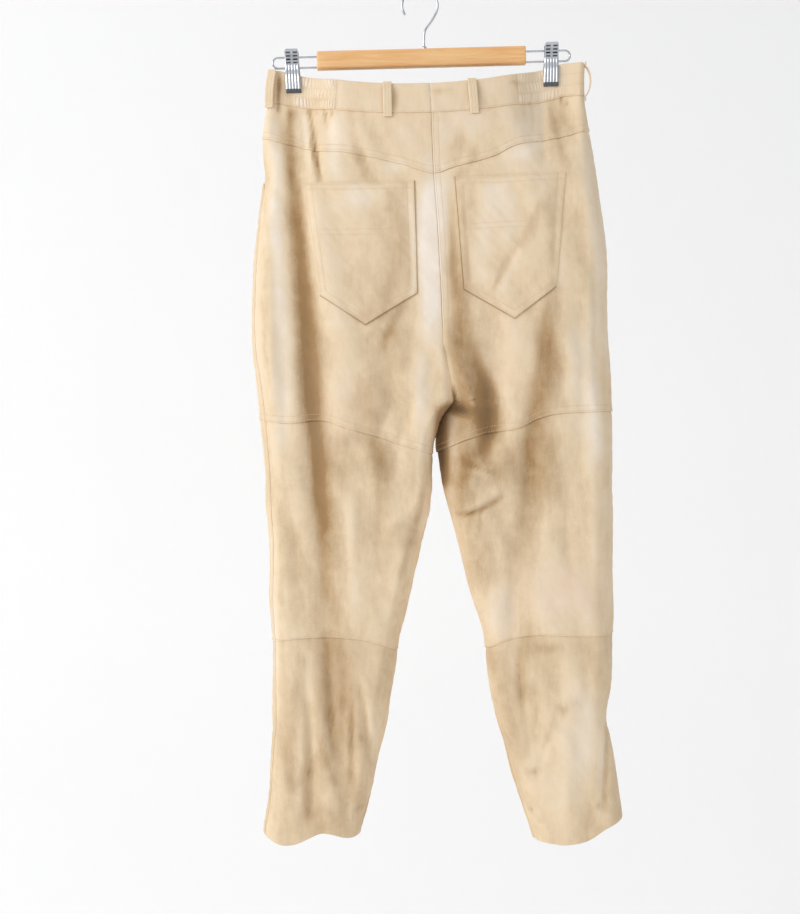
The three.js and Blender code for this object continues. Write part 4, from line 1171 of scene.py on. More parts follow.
class NodeTree:
    """A material's or a group's nodes, with short ways to add and join them."""

    def __init__(self, tree: bpy.types.NodeTree) -> None:
        """Keeps the tree."""
        self.tree = tree

    def add(self, kind: str, **settings: object) -> bpy.types.Node:
        """Adds a node and sets its options and inputs.

        Args:
            kind: The node's type.
            settings: Options of the node, or inputs where the name starts with a capital.

        Returns:
            The node.
        """
        node = self.tree.nodes.new(kind)
        for name, value in settings.items():
            if name[0].isupper():
                self.put(node, **{name: value})
            else:
                setattr(node, name, value)
        return node

    def put(self, node: bpy.types.Node, **inputs: object) -> None:
        """Feeds a node's inputs, each by its name with _ for a space."""
        for name, value in inputs.items():
            self.feed(node.inputs[name.replace("_", " ")], value)

    def place(self) -> bpy.types.NodeSocket:
        """The place on the object."""
        return self.add("ShaderNodeTexCoord").outputs["Object"]

    def feed(self, socket: bpy.types.NodeSocket, value: object) -> None:
        """Joins a socket to another, or sets its own value."""
        if isinstance(value, bpy.types.NodeSocket):
            self.tree.links.new(value, socket)
        else:
            socket.default_value = value

    def sum(self, kind: str, *values: object) -> bpy.types.NodeSocket:
        """The result of one step of arithmetic.

        Args:
            kind: The operation.
            values: Numbers or sockets.

        Returns:
            The result's socket.
        """
        node = self.tree.nodes.new("ShaderNodeMath")
        node.operation = kind
        for socket, value in zip(node.inputs, values):
            self.feed(socket, value)
        return node.outputs[0]

    def noise(self, at: bpy.types.NodeSocket, scale: float, detail: float = 2.0,
              rough: float = 0.5, lead: float = 0.0) -> bpy.types.NodeSocket:
        """A cloud of values from 0 to 1.

        Args:
            at: The coordinates.
            scale: Clouds to a metre.
            detail: Octaves.
            rough: How strong the finer octaves are.
            lead: How much the pattern is bent.

        Returns:
            The value's socket.
        """
        node = self.add("ShaderNodeTexNoise", Vector=at, Scale=scale, Detail=detail,
                        Roughness=rough, Distortion=lead)
        return node.outputs[0]

    def spread(self, value: object, low: float, high: float, to: tuple[float, float] = (0, 1),
               ) -> bpy.types.NodeSocket:
        """A value stretched from one range to another.

        Args:
            value: The value.
            low: Where the range starts.
            high: Where it ends.
            to: The new range.

        Returns:
            The result's socket.
        """
        node = self.add("ShaderNodeMapRange", Value=value, From_Min=low, From_Max=high,
                        To_Min=to[0], To_Max=to[1])
        return node.outputs[0]

    def blend(self, share: object, first: object, second: object, how: str = "MIX",
              ) -> bpy.types.NodeSocket:
        """A colour between two others.

        Args:
            share: How much of the second.
            first: A colour.
            second: Another.
            how: The way they mix.

        Returns:
            The colour's socket.
        """
        node = self.tree.nodes.new("ShaderNodeMix")
        node.data_type, node.blend_type, node.clamp_factor = "RGBA", how, True
        self.feed(node.inputs[0], share)
        self.feed(node.inputs[6], first)
        self.feed(node.inputs[7], second)
        return node.outputs[2]


Colour = tuple[float, float, float, float]


def srgb(red: int, green: int, blue: int) -> Colour:
    """A colour from its three bytes."""
    parts = []
    for byte in (red, green, blue):
        share = byte / 255.0
        parts.append(share / 12.92 if share <= 0.04045 else ((share + 0.055) / 1.055) ** 2.4)
    return (parts[0], parts[1], parts[2], 1.0)


class GroupMaker:
    """Builds each shared effect once, as a node group."""

    @staticmethod
    def open(name: str, inputs: dict[str, object], outputs: Sequence[str]) -> NodeTree:
        """A new group with its sockets.

        Args:
            name: The group's name.
            inputs: Each input's first value: a number or a colour.
            outputs: Each output's name. The one called Color is a colour.

        Returns:
            The group's nodes.
        """
        tree = bpy.data.node_groups.new(name, "ShaderNodeTree")
        for label, value in inputs.items():
            kind = "NodeSocketColor" if isinstance(value, tuple) else "NodeSocketFloat"
            socket = tree.interface.new_socket(name=label, in_out="INPUT", socket_type=kind)
            socket.default_value = value
        for label in outputs:
            kind = "NodeSocketColor" if label == "Color" else "NodeSocketFloat"
            tree.interface.new_socket(name=label, in_out="OUTPUT", socket_type=kind)
        return NodeTree(tree)

    @classmethod
    @cache
    def nap(cls) -> bpy.types.NodeTree:
        """The mottled nap of suede with the painted shade of its tone, as a group that gives its
        colour and its height.
        """
        inputs = {
            "Pale": srgb(253, 242, 227), "Middle": srgb(237, 214, 180),
            "Deep": srgb(174, 139, 97), "Stain": srgb(150, 108, 64),
            "Blush": srgb(242, 214, 191), "Shade": srgb(116, 93, 66),
            "Tone": 0.0, "Pinkness": 0.0, "Staining": 0.0, "Mottle": 1.0,
        }
        nodes = cls.open("suede_nap_and_shade", inputs, ("Color", "Height"))
        given = nodes.add("NodeGroupInput").outputs
        at = nodes.place()
        long = nodes.add("ShaderNodeMapping", Vector=at, Scale=(1.0, 1.0, 0.3)).outputs[0]
        broad = nodes.noise(long, 13.0, 3.0, 0.55, 0.6)
        cloud = nodes.noise(at, 48.0, 4.0, 0.6, 0.4)
        brush = nodes.noise(long, 170.0, 3.0, 0.6, 0.3)
        grain = nodes.noise(at, 900.0, 3.0, 0.7)
        tone = nodes.sum("MULTIPLY", nodes.sum("SUBTRACT", broad, 0.5), 1.3)
        for part, weight in ((cloud, 0.7), (brush, 0.55), (grain, 0.6)):
            tone = nodes.sum("MULTIPLY_ADD", nodes.sum("SUBTRACT", part, 0.5), weight, tone)
        tone = nodes.sum("MULTIPLY_ADD", tone, given["Mottle"], given["Tone"])
        dark = nodes.spread(tone, 0.0, 1.1)
        light = nodes.spread(tone, 0.0, -1.1)
        colour = nodes.blend(dark, given["Middle"], given["Deep"])
        # Tone above 1 blends towards Shade: painted shadow in the crotch hollows and the deepest
        # folds.
        colour = nodes.blend(nodes.spread(tone, 1.0, 2.6), colour, given["Shade"])
        colour = nodes.blend(light, colour, given["Pale"])
        pink = nodes.sum("MULTIPLY", given["Pinkness"], nodes.spread(cloud, 0.25, 0.75))
        colour = nodes.blend(pink, colour, given["Blush"])
        ragged = nodes.sum("MULTIPLY", given["Staining"], nodes.spread(brush, 0.2, 0.6))
        colour = nodes.blend(ragged, colour, given["Stain"])
        height = nodes.sum("MULTIPLY_ADD", brush, 0.8, nodes.sum("MULTIPLY", grain, 0.5))
        nodes.add("NodeGroupOutput", Color=colour, Height=height)
        return nodes.tree

    @classmethod
    @cache
    def grain(cls) -> bpy.types.NodeTree:
        """The long grain of a light hardwood, as a group that gives its colour and height."""
        inputs = {"Light": srgb(252, 206, 148), "Dark": srgb(240, 178, 114), "Streak": 1.0}
        nodes = cls.open("wood_grain", inputs, ("Color", "Height"))
        given = nodes.add("NodeGroupInput").outputs
        at = nodes.place()
        long = nodes.add("ShaderNodeMapping", Vector=at, Scale=(0.05, 1.0, 1.0)).outputs[0]
        bands = nodes.noise(long, 130.0, 4.0, 0.6, 0.9)
        fleck = nodes.noise(long, 900.0, 2.0, 0.6)
        cloud = nodes.noise(at, 9.0, 2.0, 0.5)
        tone = nodes.sum("MULTIPLY_ADD", nodes.sum("SUBTRACT", fleck, 0.5), 0.6, bands)
        tone = nodes.sum("MULTIPLY_ADD", nodes.sum("SUBTRACT", cloud, 0.5), 0.5, tone)
        share = nodes.sum("MULTIPLY", nodes.spread(tone, 0.3, 0.75), given["Streak"])
        colour = nodes.blend(share, given["Light"], given["Dark"])
        nodes.add("NodeGroupOutput", Color=colour, Height=fleck)
        return nodes.tree

    @classmethod
    @cache
    def handling(cls) -> bpy.types.NodeTree:
        """Smudges and scratches, as a group that gives a roughness and a height."""
        inputs = {"Smooth": 0.12, "Worn": 0.35}
        nodes = cls.open("handling", inputs, ("Roughness", "Height"))
        given = nodes.add("NodeGroupInput").outputs
        at = nodes.place()
        smudge = nodes.spread(nodes.noise(at, 120.0, 3.0, 0.6), 0.35, 0.7)
        scratch = nodes.noise(at, 2600.0, 2.0, 0.7)
        rough = nodes.spread(smudge, 0.0, 1.0, (given["Smooth"], given["Worn"]))
        nodes.add("NodeGroupOutput", Roughness=rough, Height=scratch)
        return nodes.tree


@dataclass(frozen=True)
class Finish:
    """A finish that is made once under its own name."""

    name: str

    def material(self) -> bpy.types.Material:
        """The finish as a material."""
        label = f"{self.name}_finish"
        if label in bpy.data.materials:
            return bpy.data.materials[label]
        made = bpy.data.materials.new(label)
        made.use_nodes = True
        made.node_tree.nodes.clear()
        nodes = NodeTree(made.node_tree)
        shader = nodes.add("ShaderNodeBsdfPrincipled")
        out = nodes.add("ShaderNodeOutputMaterial")
        nodes.put(out, Surface=self.cover(nodes, shader.outputs[0]))
        self.paint(nodes, shader)
        return made

    def cover(self, nodes: NodeTree, shader: bpy.types.NodeSocket) -> bpy.types.NodeSocket:
        """What the surface shows of its shader: all of it."""
        return shader

    def paint(self, nodes: NodeTree, shader: bpy.types.Node) -> None:
        """Feeds the shader."""

    @staticmethod
    def bump(nodes: NodeTree, shader: bpy.types.Node, height: object, strength: float,
             distance: float) -> None:
        """Joins a height to the shader's normal.

        Args:
            nodes: The material's nodes.
            shader: The shader.
            height: The height.
            strength: How strongly it shows.
            distance: The real height of a value of one, in metres.
        """
        bump = nodes.add("ShaderNodeBump", Height=height, Strength=strength, Distance=distance)
        nodes.put(shader, Normal=bump.outputs[0])


@dataclass(frozen=True)
class Suede(Finish):
    """Brushed hide with a soft uneven nap."""

    tone: float = 0.0
    pink: float = 0.0
    mottle: float = 1.0
    sheen: float = 0.12

    def paint(self, nodes: NodeTree, shader: bpy.types.Node) -> None:
        """Feeds the shader from the nap and from the piece's own patches, streaks and bands, which
        also carry painted shade and highlight.
        """
        group = nodes.add("ShaderNodeGroup", node_tree=GroupMaker.nap(), Mottle=self.mottle)
        tone, blush, stain = (
            nodes.add("ShaderNodeAttribute", attribute_name=name).outputs["Fac"]
            for name in ("tone", "blush", "stain")
        )
        nodes.put(group, Tone=nodes.sum("ADD", tone, self.tone),
                  Pinkness=nodes.sum("ADD", blush, self.pink), Staining=stain)
        nodes.put(
            shader, Base_Color=group.outputs["Color"], Roughness=0.95,
            Specular_IOR_Level=0.12, Sheen_Weight=self.sheen, Sheen_Roughness=0.55,
            Sheen_Tint=srgb(255, 240, 220),
        )
        self.bump(nodes, shader, group.outputs["Height"], 0.35, 0.0004)


@dataclass(frozen=True)
class Thread(Finish):
    """Spun thread, a little lighter or darker along its run."""

    pale: Colour = srgb(238, 217, 186)
    deep: Colour = srgb(214, 188, 150)

    def paint(self, nodes: NodeTree, shader: bpy.types.Node) -> None:
        """Feeds the shader from a fine twist."""
        at = nodes.place()
        twist = nodes.noise(at, 2200.0, 2.0, 0.6)
        cloud = nodes.noise(at, 60.0, 2.0, 0.5)
        share = nodes.sum("MULTIPLY_ADD", twist, 0.5, nodes.sum("MULTIPLY", cloud, 0.5))
        colour = nodes.blend(share, self.pale, self.deep)
        nodes.put(shader, Base_Color=colour, Roughness=0.8)
        self.bump(nodes, shader, twist, 0.4, 0.0002)


@dataclass(frozen=True)
class Chrome(Finish):
    """Bright plated steel with light handling marks."""

    tint: Colour = srgb(214, 217, 222)
    smooth: float = 0.16
    worn: float = 0.3

    def paint(self, nodes: NodeTree, shader: bpy.types.Node) -> None:
        """Feeds the shader from the marks of handling."""
        group = nodes.add("ShaderNodeGroup", node_tree=GroupMaker.handling(),
                          Smooth=self.smooth, Worn=self.worn)
        cloud = nodes.spread(nodes.noise(nodes.place(), 90.0, 2.0), 0.3, 0.7)
        dull = tuple(0.82 * part for part in self.tint[:3]) + (1.0,)
        nodes.put(shader, Base_Color=nodes.blend(cloud, self.tint, dull),
                  Roughness=group.outputs["Roughness"], Metallic=1.0)
        self.bump(nodes, shader, group.outputs["Height"], 0.08, 0.0001)


@dataclass(frozen=True)
class Wood(Finish):
    """Pale honey hardwood under a thin lacquer."""

    streak: float = 1.0

    def paint(self, nodes: NodeTree, shader: bpy.types.Node) -> None:
        """Feeds the shader from the grain."""
        group = nodes.add("ShaderNodeGroup", node_tree=GroupMaker.grain(), Streak=self.streak)
        marks = nodes.add("ShaderNodeGroup", node_tree=GroupMaker.handling(),
                          Smooth=0.35, Worn=0.5)
        nodes.put(shader, Base_Color=group.outputs["Color"],
                  Roughness=marks.outputs["Roughness"])
        self.bump(nodes, shader, group.outputs["Height"], 0.1, 0.0002)


@dataclass(frozen=True)
class Horn(Finish):
    """Streaked brown horn."""

    pale: Colour = srgb(186, 150, 104)
    deep: Colour = srgb(104, 74, 44)

    def paint(self, nodes: NodeTree, shader: bpy.types.Node) -> None:
        """Feeds the shader from drawn-out streaks."""
        at = nodes.place()
        drawn = nodes.add("ShaderNodeMapping", Vector=at, Scale=(1.0, 1.0, 0.3)).outputs[0]
        streak = nodes.spread(nodes.noise(drawn, 260.0, 4.0, 0.6, 1.2), 0.3, 0.7)
        marks = nodes.add("ShaderNodeGroup", node_tree=GroupMaker.handling())
        nodes.put(shader, Base_Color=nodes.blend(streak, self.pale, self.deep),
                  Roughness=marks.outputs["Roughness"])
        self.bump(nodes, shader, streak, 0.1, 0.0002)


@dataclass(frozen=True)
class Paper(Finish):
    """The plain pale surface of the studio."""

    colour: Colour = srgb(248, 248, 248)
    glow: float = 0.1

    def cover(self, nodes: NodeTree, shader: bpy.types.NodeSocket) -> bpy.types.NodeSocket:
        """The paper hides nothing that is looked at through its back."""
        behind = nodes.add("ShaderNodeNewGeometry").outputs["Backfacing"]
        clear = nodes.add("ShaderNodeBsdfTransparent").outputs[0]
        mixed = nodes.add("ShaderNodeMixShader")
        for socket, value in zip(mixed.inputs, (behind, shader, clear)):
            nodes.feed(socket, value)
        return mixed.outputs[0]

    def paint(self, nodes: NodeTree, shader: bpy.types.Node) -> None:
        """Feeds the shader from a faint tooth."""
        tooth = nodes.noise(nodes.place(), 3.0, 2.0)
        dim = tuple(0.985 * part for part in self.colour[:3]) + (1.0,)
        nodes.put(
            shader, Base_Color=nodes.blend(tooth, self.colour, dim), Roughness=0.9,
            Emission_Color=(1.0, 1.0, 1.0, 1.0), Emission_Strength=self.glow,
        )


SUEDE = Suede("suede", mottle=0.85)
SUEDE_LOWER = Suede("suede_lower", tone=0.2, mottle=0.72)
SUEDE_BAND = Suede("suede_band", tone=-0.06, pink=0.2, mottle=0.7)
SUEDE_POCKET = Suede("suede_pocket", tone=0.02, pink=0.1, mottle=0.8)
SUEDE_LOOP = Suede("suede_loop", tone=-0.05, mottle=0.7)
THREAD = Thread("thread")
CHROME = Chrome("chrome")
PRESSED = Chrome("pressed", smooth=0.3, worn=0.42)
# Dark steel on the clip's inner faces and lip: painted shade inside the clip and under its lip.
SHADE_STEEL = Chrome("dull", tint=srgb(112, 115, 118), smooth=0.5, worn=0.7)
WOOD = Wood("wood")
HORN = Horn("horn")
PAPER = Paper("paper")


# --------------------------------------------------------------------------- stitching


@dataclass
class Stitching:
    """Rows of lockstitch, gathered from many seams into one mesh."""

    pitch: float = 3.3
    length: float = 2.3
    half_width: float = 0.32
    half_height: float = 0.3
    nearby: ClassVar[float] = 0.6
    dip: ClassVar[float] = 0.25
    points: list[Array] = field(default_factory=list)
    faces: list[list[int]] = field(default_factory=list)

    def run(self, line: Array, out: Array) -> None:
        """Adds one row of stitches along a line on the cloth.

        Args:
            line: Points along the row.
            out: The way out of the cloth at each point.
        """
        steps = np.linalg.norm(np.diff(line, axis=0), axis=1)
        gone = np.concatenate([[0.0], np.cumsum(steps)])
        count = int(gone[-1] / self.pitch)
        if count < 1:
            return
        middle = (np.arange(count) + 0.5) * gone[-1] / count

        def at(places: Array, values: Array) -> Array:
            """The values at places along the row."""
            return np.stack([np.interp(places, gone, values[:, k]) for k in range(3)], axis=1)

        here, up = at(middle, line), unit(at(middle, out))
        along = unit(at(middle + self.nearby, line) - at(middle - self.nearby, line))
        side = unit(np.cross(up, along))
        half = self.length / 2
        rings = []
        for share, thick in ((-1.0, False), (-0.6, True), (0.6, True), (1.0, False)):
            centre = here + along * half * share
            if not thick:
                rings.append((centre - up * self.dip)[:, None, :])
                continue
            corners = [
                centre + side * self.half_width, centre + up * self.half_height,
                centre - side * self.half_width, centre - up * self.half_height,
            ]
            rings.append(np.stack(corners, axis=1))
        block = np.concatenate(rings, axis=1)
        first = sum(len(part) for part in self.points)
        self.points.append(block.reshape(-1, 3))
        for base in range(first, first + 10 * count, 10):
            for k in range(4):
                after = (k + 1) % 4
                self.faces.append([base, base + 1 + after, base + 1 + k])
                low, high = base + 1, base + 5
                self.faces.append([low + k, low + after, high + after, high + k])
                self.faces.append([high + k, high + after, base + 9])

    def build(self, name: str, slot: str) -> bpy.types.Object:
        """The rows as one object.

        Args:
            name: The object's name.
            slot: A name for the finish, which is only logged.

        Returns:
            The object.
        """
        points = np.concatenate(self.points)
        made = mesh_object(name, points, self.faces, THREAD.material(), 80.0)
        return dress(made, slot)


# The closer stitches of the band, the pockets and the fly.
FINE_ROWS = {"pitch": 2.9, "length": 2.0}


# ------------------------------------------------------------------------ cut pieces


@dataclass(frozen=True)
class SewnEdge:
    """How one edge of a cut piece is finished."""

    rise: float = 0.0
    reach: float = 5.0
    rows: tuple[float, ...] = ()
    pucker: float = 0.18
    gap: float = 0.06

    def insets(self) -> list[float]:
        """Distances from the edge at which the mesh needs a line of points."""
        close = [self.gap, self.gap + 0.45, self.gap + 1.1, self.gap + 2.0]
        for row in self.rows:
            close += [row - 0.8, row, row + 0.8]
        ordered = sorted({round(c, 2) for c in close})
        kept = [ordered[0]]
        for value in ordered[1:]:
            if value - kept[-1] > 0.3:
                kept.append(value)
        return kept

    def relief(self, distance: Array, along: Array) -> Array:
        """How far the cloth stands out near this edge.

        Args:
            distance: Distances from the edge.
            along: Distances along it.

        Returns:
            Heights.
        """
        rounding, row_press = EDGE_ROUNDING, ROW_PRESS
        total = self.rise * bell(distance, self.reach)
        total = total - rounding[0] * bell(distance, rounding[1])
        for row in self.rows:
            total = total - row_press[0] * bell(distance - row, row_press[1])
        if self.rows and self.pucker:
            ripple = np.sin(along / 1.9 + 1.3 * np.sin(along / 21.0))
            ripple = ripple + 0.6 * np.sin(along / 3.1 + 2.0)
            total = total + self.pucker * ripple * bell(distance - 5.0, 8.0)
        return total


OVERLAP = SewnEdge(rise=0.45, rows=(2.2, 8.4))
TUCKED = SewnEdge(rise=-0.75, reach=6.0)
PLAIN_SEAM = SewnEdge(rise=-0.25, reach=3.5, gap=-0.1)
HEMMED = SewnEdge(rise=0.35, reach=20.0)


@dataclass
class CutPiece:
    """One cut piece of a half: the stretch between two lines and two turns."""

    label: str
    cloth: HangingCloth
    upper: Line
    lower: Line
    turns: Callable[[Array], tuple[Array, Array]]
    edges: dict[Edge, SewnEdge]
    finish: Suede = SUEDE
    slot: str = ""
    thick: float = 1.3
    lift: float = 0.0
    step: tuple[float, float] = (3.6, 4.0)
    extra: Callable[[Array, Array, Array], Array] | None = None
    ease_cut: float = 1.0
    row_lift: ClassVar[tuple[float, float]] = (0.22, 0.15)
    # Tone for each millimetre a shirring ripple stands out: painted shade in its troughs and paler
    # nap on its ridges.
    ripple_nap_and_shade: ClassVar[float] = -0.34

    def line_at(self, line: Line, share: Array) -> Array:
        """The height of a line at a share of the way across the piece."""
        start, end = self.turns(np.asarray(line.value))
        return self.cloth.line(line, mix(start, end, share))

    def span_at(self, share: Array) -> tuple[Array, Array]:
        """The heights of the piece's upper and lower lines."""
        return self.line_at(self.upper, share), self.line_at(self.lower, share)

    def size(self) -> tuple[float, float]:
        """The piece's middle width and length on the cloth."""
        middle = np.asarray((self.upper.value + self.lower.value) / 2)
        start, end = self.turns(middle)
        wide = float((end - start) * self.cloth.girth(np.asarray((start + end) / 2), middle))
        top, low = self.span_at(np.asarray(0.5))
        return wide, float(top - low)

    def surface(self, turn: Array, height: Array, share: Array, lift: float = 0.0,
                ) -> tuple[Array, Array]:
        """The dressed face of the piece, with its creases and seams.

        Args:
            turn: Turns.
            height: Heights.
            share: Shares of the way across, which tell the ends of the lines.
            lift: How far the points stand off the face.

        Returns:
            Points, and the way out at each.
        """
        points, out = self.cloth.point(turn, height), self.cloth.facing(turn, height)
        girth = self.cloth.girth(turn, height)
        start, end = self.turns(height)
        top, low = self.span_at(share)
        drop, rise = top - height, height - low
        relief = self.cloth.creases(points, turn)
        for edge, distance, along in (
            (Edge.TOP, drop, turn * girth), (Edge.LOW, rise, turn * girth),
            (Edge.FROM, (turn - start) * girth, height), (Edge.TO, (end - turn) * girth, height),
        ):
            relief = relief + self.edges[edge].relief(distance, along)
        if self.extra is not None:
            relief = relief + self.extra(points, turn, drop / (drop + rise))
        return points + out * (relief + self.lift + lift)[..., None], out

    def lattice(self) -> tuple[Array, Array, Array]:
        """The turns, heights and shares of the piece's mesh.

        Returns:
            Three grids, with a row for each level.
        """
        wide, tall = self.size()
        near = {edge: np.array(self.edges[edge].insets()) for edge in Edge}
        columns = ramp(wide, self.step[0], near[Edge.FROM], near[Edge.TO])
        rows = ramp(tall, self.step[1], near[Edge.TOP], near[Edge.LOW])
        first, last = near[Edge.FROM] / wide, 1.0 - near[Edge.TO][::-1] / wide
        inner = np.linspace(first[-1], last[0], columns + 2)[1:-1]
        share = np.concatenate([first, inner, last])
        top, low = self.span_at(share)
        start, end = top - near[Edge.TOP][-1], low + near[Edge.LOW][-1]
        levels = [top - inset for inset in near[Edge.TOP]]
        levels += [mix(start, end, k / (rows + 1)) for k in range(1, rows + 1)]
        levels += [low + inset for inset in near[Edge.LOW][::-1]]
        height = np.stack(levels)
        share = np.broadcast_to(share, height.shape)
        start, end = self.turns(height)
        girth = self.cloth.girth(np.full(height.shape, 0.25 if self.back() else 0.75), height)
        left, right = len(first), -len(last)
        turn = mix(start, end, share)
        turn[:, :left] = start[:, :left] + near[Edge.FROM][None, :] / girth[:, :left]
        turn[:, right:] = end[:, right:] - near[Edge.TO][::-1][None, :] / girth[:, right:]
        middle = (inner - first[-1]) / (last[0] - first[-1])
        ends = turn[:, left - 1][:, None], turn[:, right][:, None]
        turn[:, left:right] = mix(*ends, middle[None, :])
        return turn, height, share

    def back(self) -> bool:
        """True if the piece is mostly on the back."""
        start, end = self.turns(np.asarray(-300.0))
        return bool(start + end < 1.0)

    def build(self) -> bpy.types.Object:
        """The piece as a closed shell, dressed.

        Returns:
            The object.
        """
        turn, height, share = self.lattice()
        outer, out = self.surface(turn, height, share)
        inner = outer - out * self.thick
        node = f"{self.label}_{self.cloth.side.value}"
        walls = shell(outer, inner, self.cloth.side is Side.RIGHT)
        made = mesh_object(f"{node}_sewn", *walls, self.finish.material())
        # The shirring's ripples are painted darker in their troughs and paler on their ridges:
        # painted shade in part, nap in part.
        raised = np.zeros(turn.shape)
        if self.extra is not None:
            top, low = self.span_at(share)
            down = (top - height) / (top - low)
            raised = self.extra(self.cloth.point(turn, height), turn, down)
            raised = raised - raised.mean()
        self.paint(made, outer, turn, self.ripple_nap_and_shade * raised)
        dress(made, self.slot or self.finish.name, node)
        self.declare(turn, height)
        return made

    def paint(self, made: bpy.types.Object, outer: Array, turn: Array,
              more: Array | float = 0.0) -> None:
        """Gives the piece its tone: darker, paler, pinker and stained nap, with painted shade and
        painted highlight from the streaks, bands, creases and patches.

        Args:
            made: The piece's object.
            outer: Its outer points.
            turn: Their turns.
            more: Tone that is added to the patches, such as the painted shadow along a pocket's rim
                and the shirring's ripple tone.
        """
        x, z = outer[..., 0], outer[..., 2]
        back = np.broadcast_to(turn < 0.5, x.shape)
        # The tone holds nap and stains together with painted shade and painted highlight.
        worn = {"tone": marks_at(NAP_AND_SHADE_MARKS, x, z, back)}
        # Creases add painted shade in their troughs and paler rubbed nap on their ridges.
        worn["tone"] += more - CREASE_WEAR_AND_SHADE * self.cloth.creases(outer, turn)
        worn |= {name: np.zeros(x.shape) for name in ("blush", "stain")}
        for face, there in ((Face.BACK, back), (Face.FRONT, ~back)):
            for patch in PATCHES[face]:
                share = patch.share(x, z) * there
                for name, values in worn.items():
                    values += getattr(patch, name) * share
        for name, values in worn.items():
            put_floats(made, name, np.concatenate([values.ravel(), values.ravel()]))

    def declare(self, turn: Array, height: Array) -> None:
        """Measures the piece's lengths and area as laid on the cloth, and keeps none of them."""
        flat = self.cloth.point(turn, height)
        across = np.linalg.norm(np.diff(flat, axis=1), axis=-1).sum(axis=1).max()
        down = np.linalg.norm(np.diff(flat, axis=0), axis=-1).sum(axis=0).max()
        side_a = flat[1:, :-1] - flat[:-1, :-1]
        side_b = flat[:-1, 1:] - flat[:-1, :-1]
        area = np.linalg.norm(np.cross(side_a, side_b), axis=-1).sum()

    def sew(self, rows: Stitching, edge: Edge, inset: float) -> None:
        """Adds a row of stitches along one edge.

        Args:
            rows: The rows that it joins.
            edge: The edge.
            inset: The distance in from it.
        """
        run = np.linspace(0, 1, 240)
        if edge in (Edge.TOP, Edge.LOW):
            line, sign = (self.upper, -1) if edge is Edge.TOP else (self.lower, 1)
            share = mix(0.002, 0.998, run)
            height = self.line_at(line, share) + sign * inset
            turn = mix(*self.turns(height), share)
        else:
            share = np.full(run.shape, 0.0 if edge is Edge.FROM else 1.0)
            height = mix(*self.span_at(share), mix(0.003, 0.997, run))
            start, end = self.turns(height)
            shift = inset / self.cloth.girth((start + end) / 2, height)
            turn = start + shift if edge is Edge.FROM else end - shift
        rows.run(*self.surface(turn, height, share, self.row_lift[0]))

    def sew_level(self, rows: Stitching, down: float, ends: tuple[float, float]) -> None:
        """Adds a row of stitches at a share of the way down the piece.

        Args:
            rows: The rows that it joins.
            down: The share.
            ends: The shares across at which the row starts and stops.
        """
        share = np.linspace(ends[0], ends[1], 300)
        height = mix(*self.span_at(share), down)
        turn = mix(*self.turns(height), share)
        rows.run(*self.surface(turn, height, share, self.row_lift[1]))

    def sew_all(self, rows: Stitching) -> None:
        """Adds every row of stitches that the piece's edges have."""
        for edge, sewn in self.edges.items():
            for inset in sewn.rows:
                self.sew(rows, edge, inset)


# ------------------------------------------------------------------- sub-assemblies


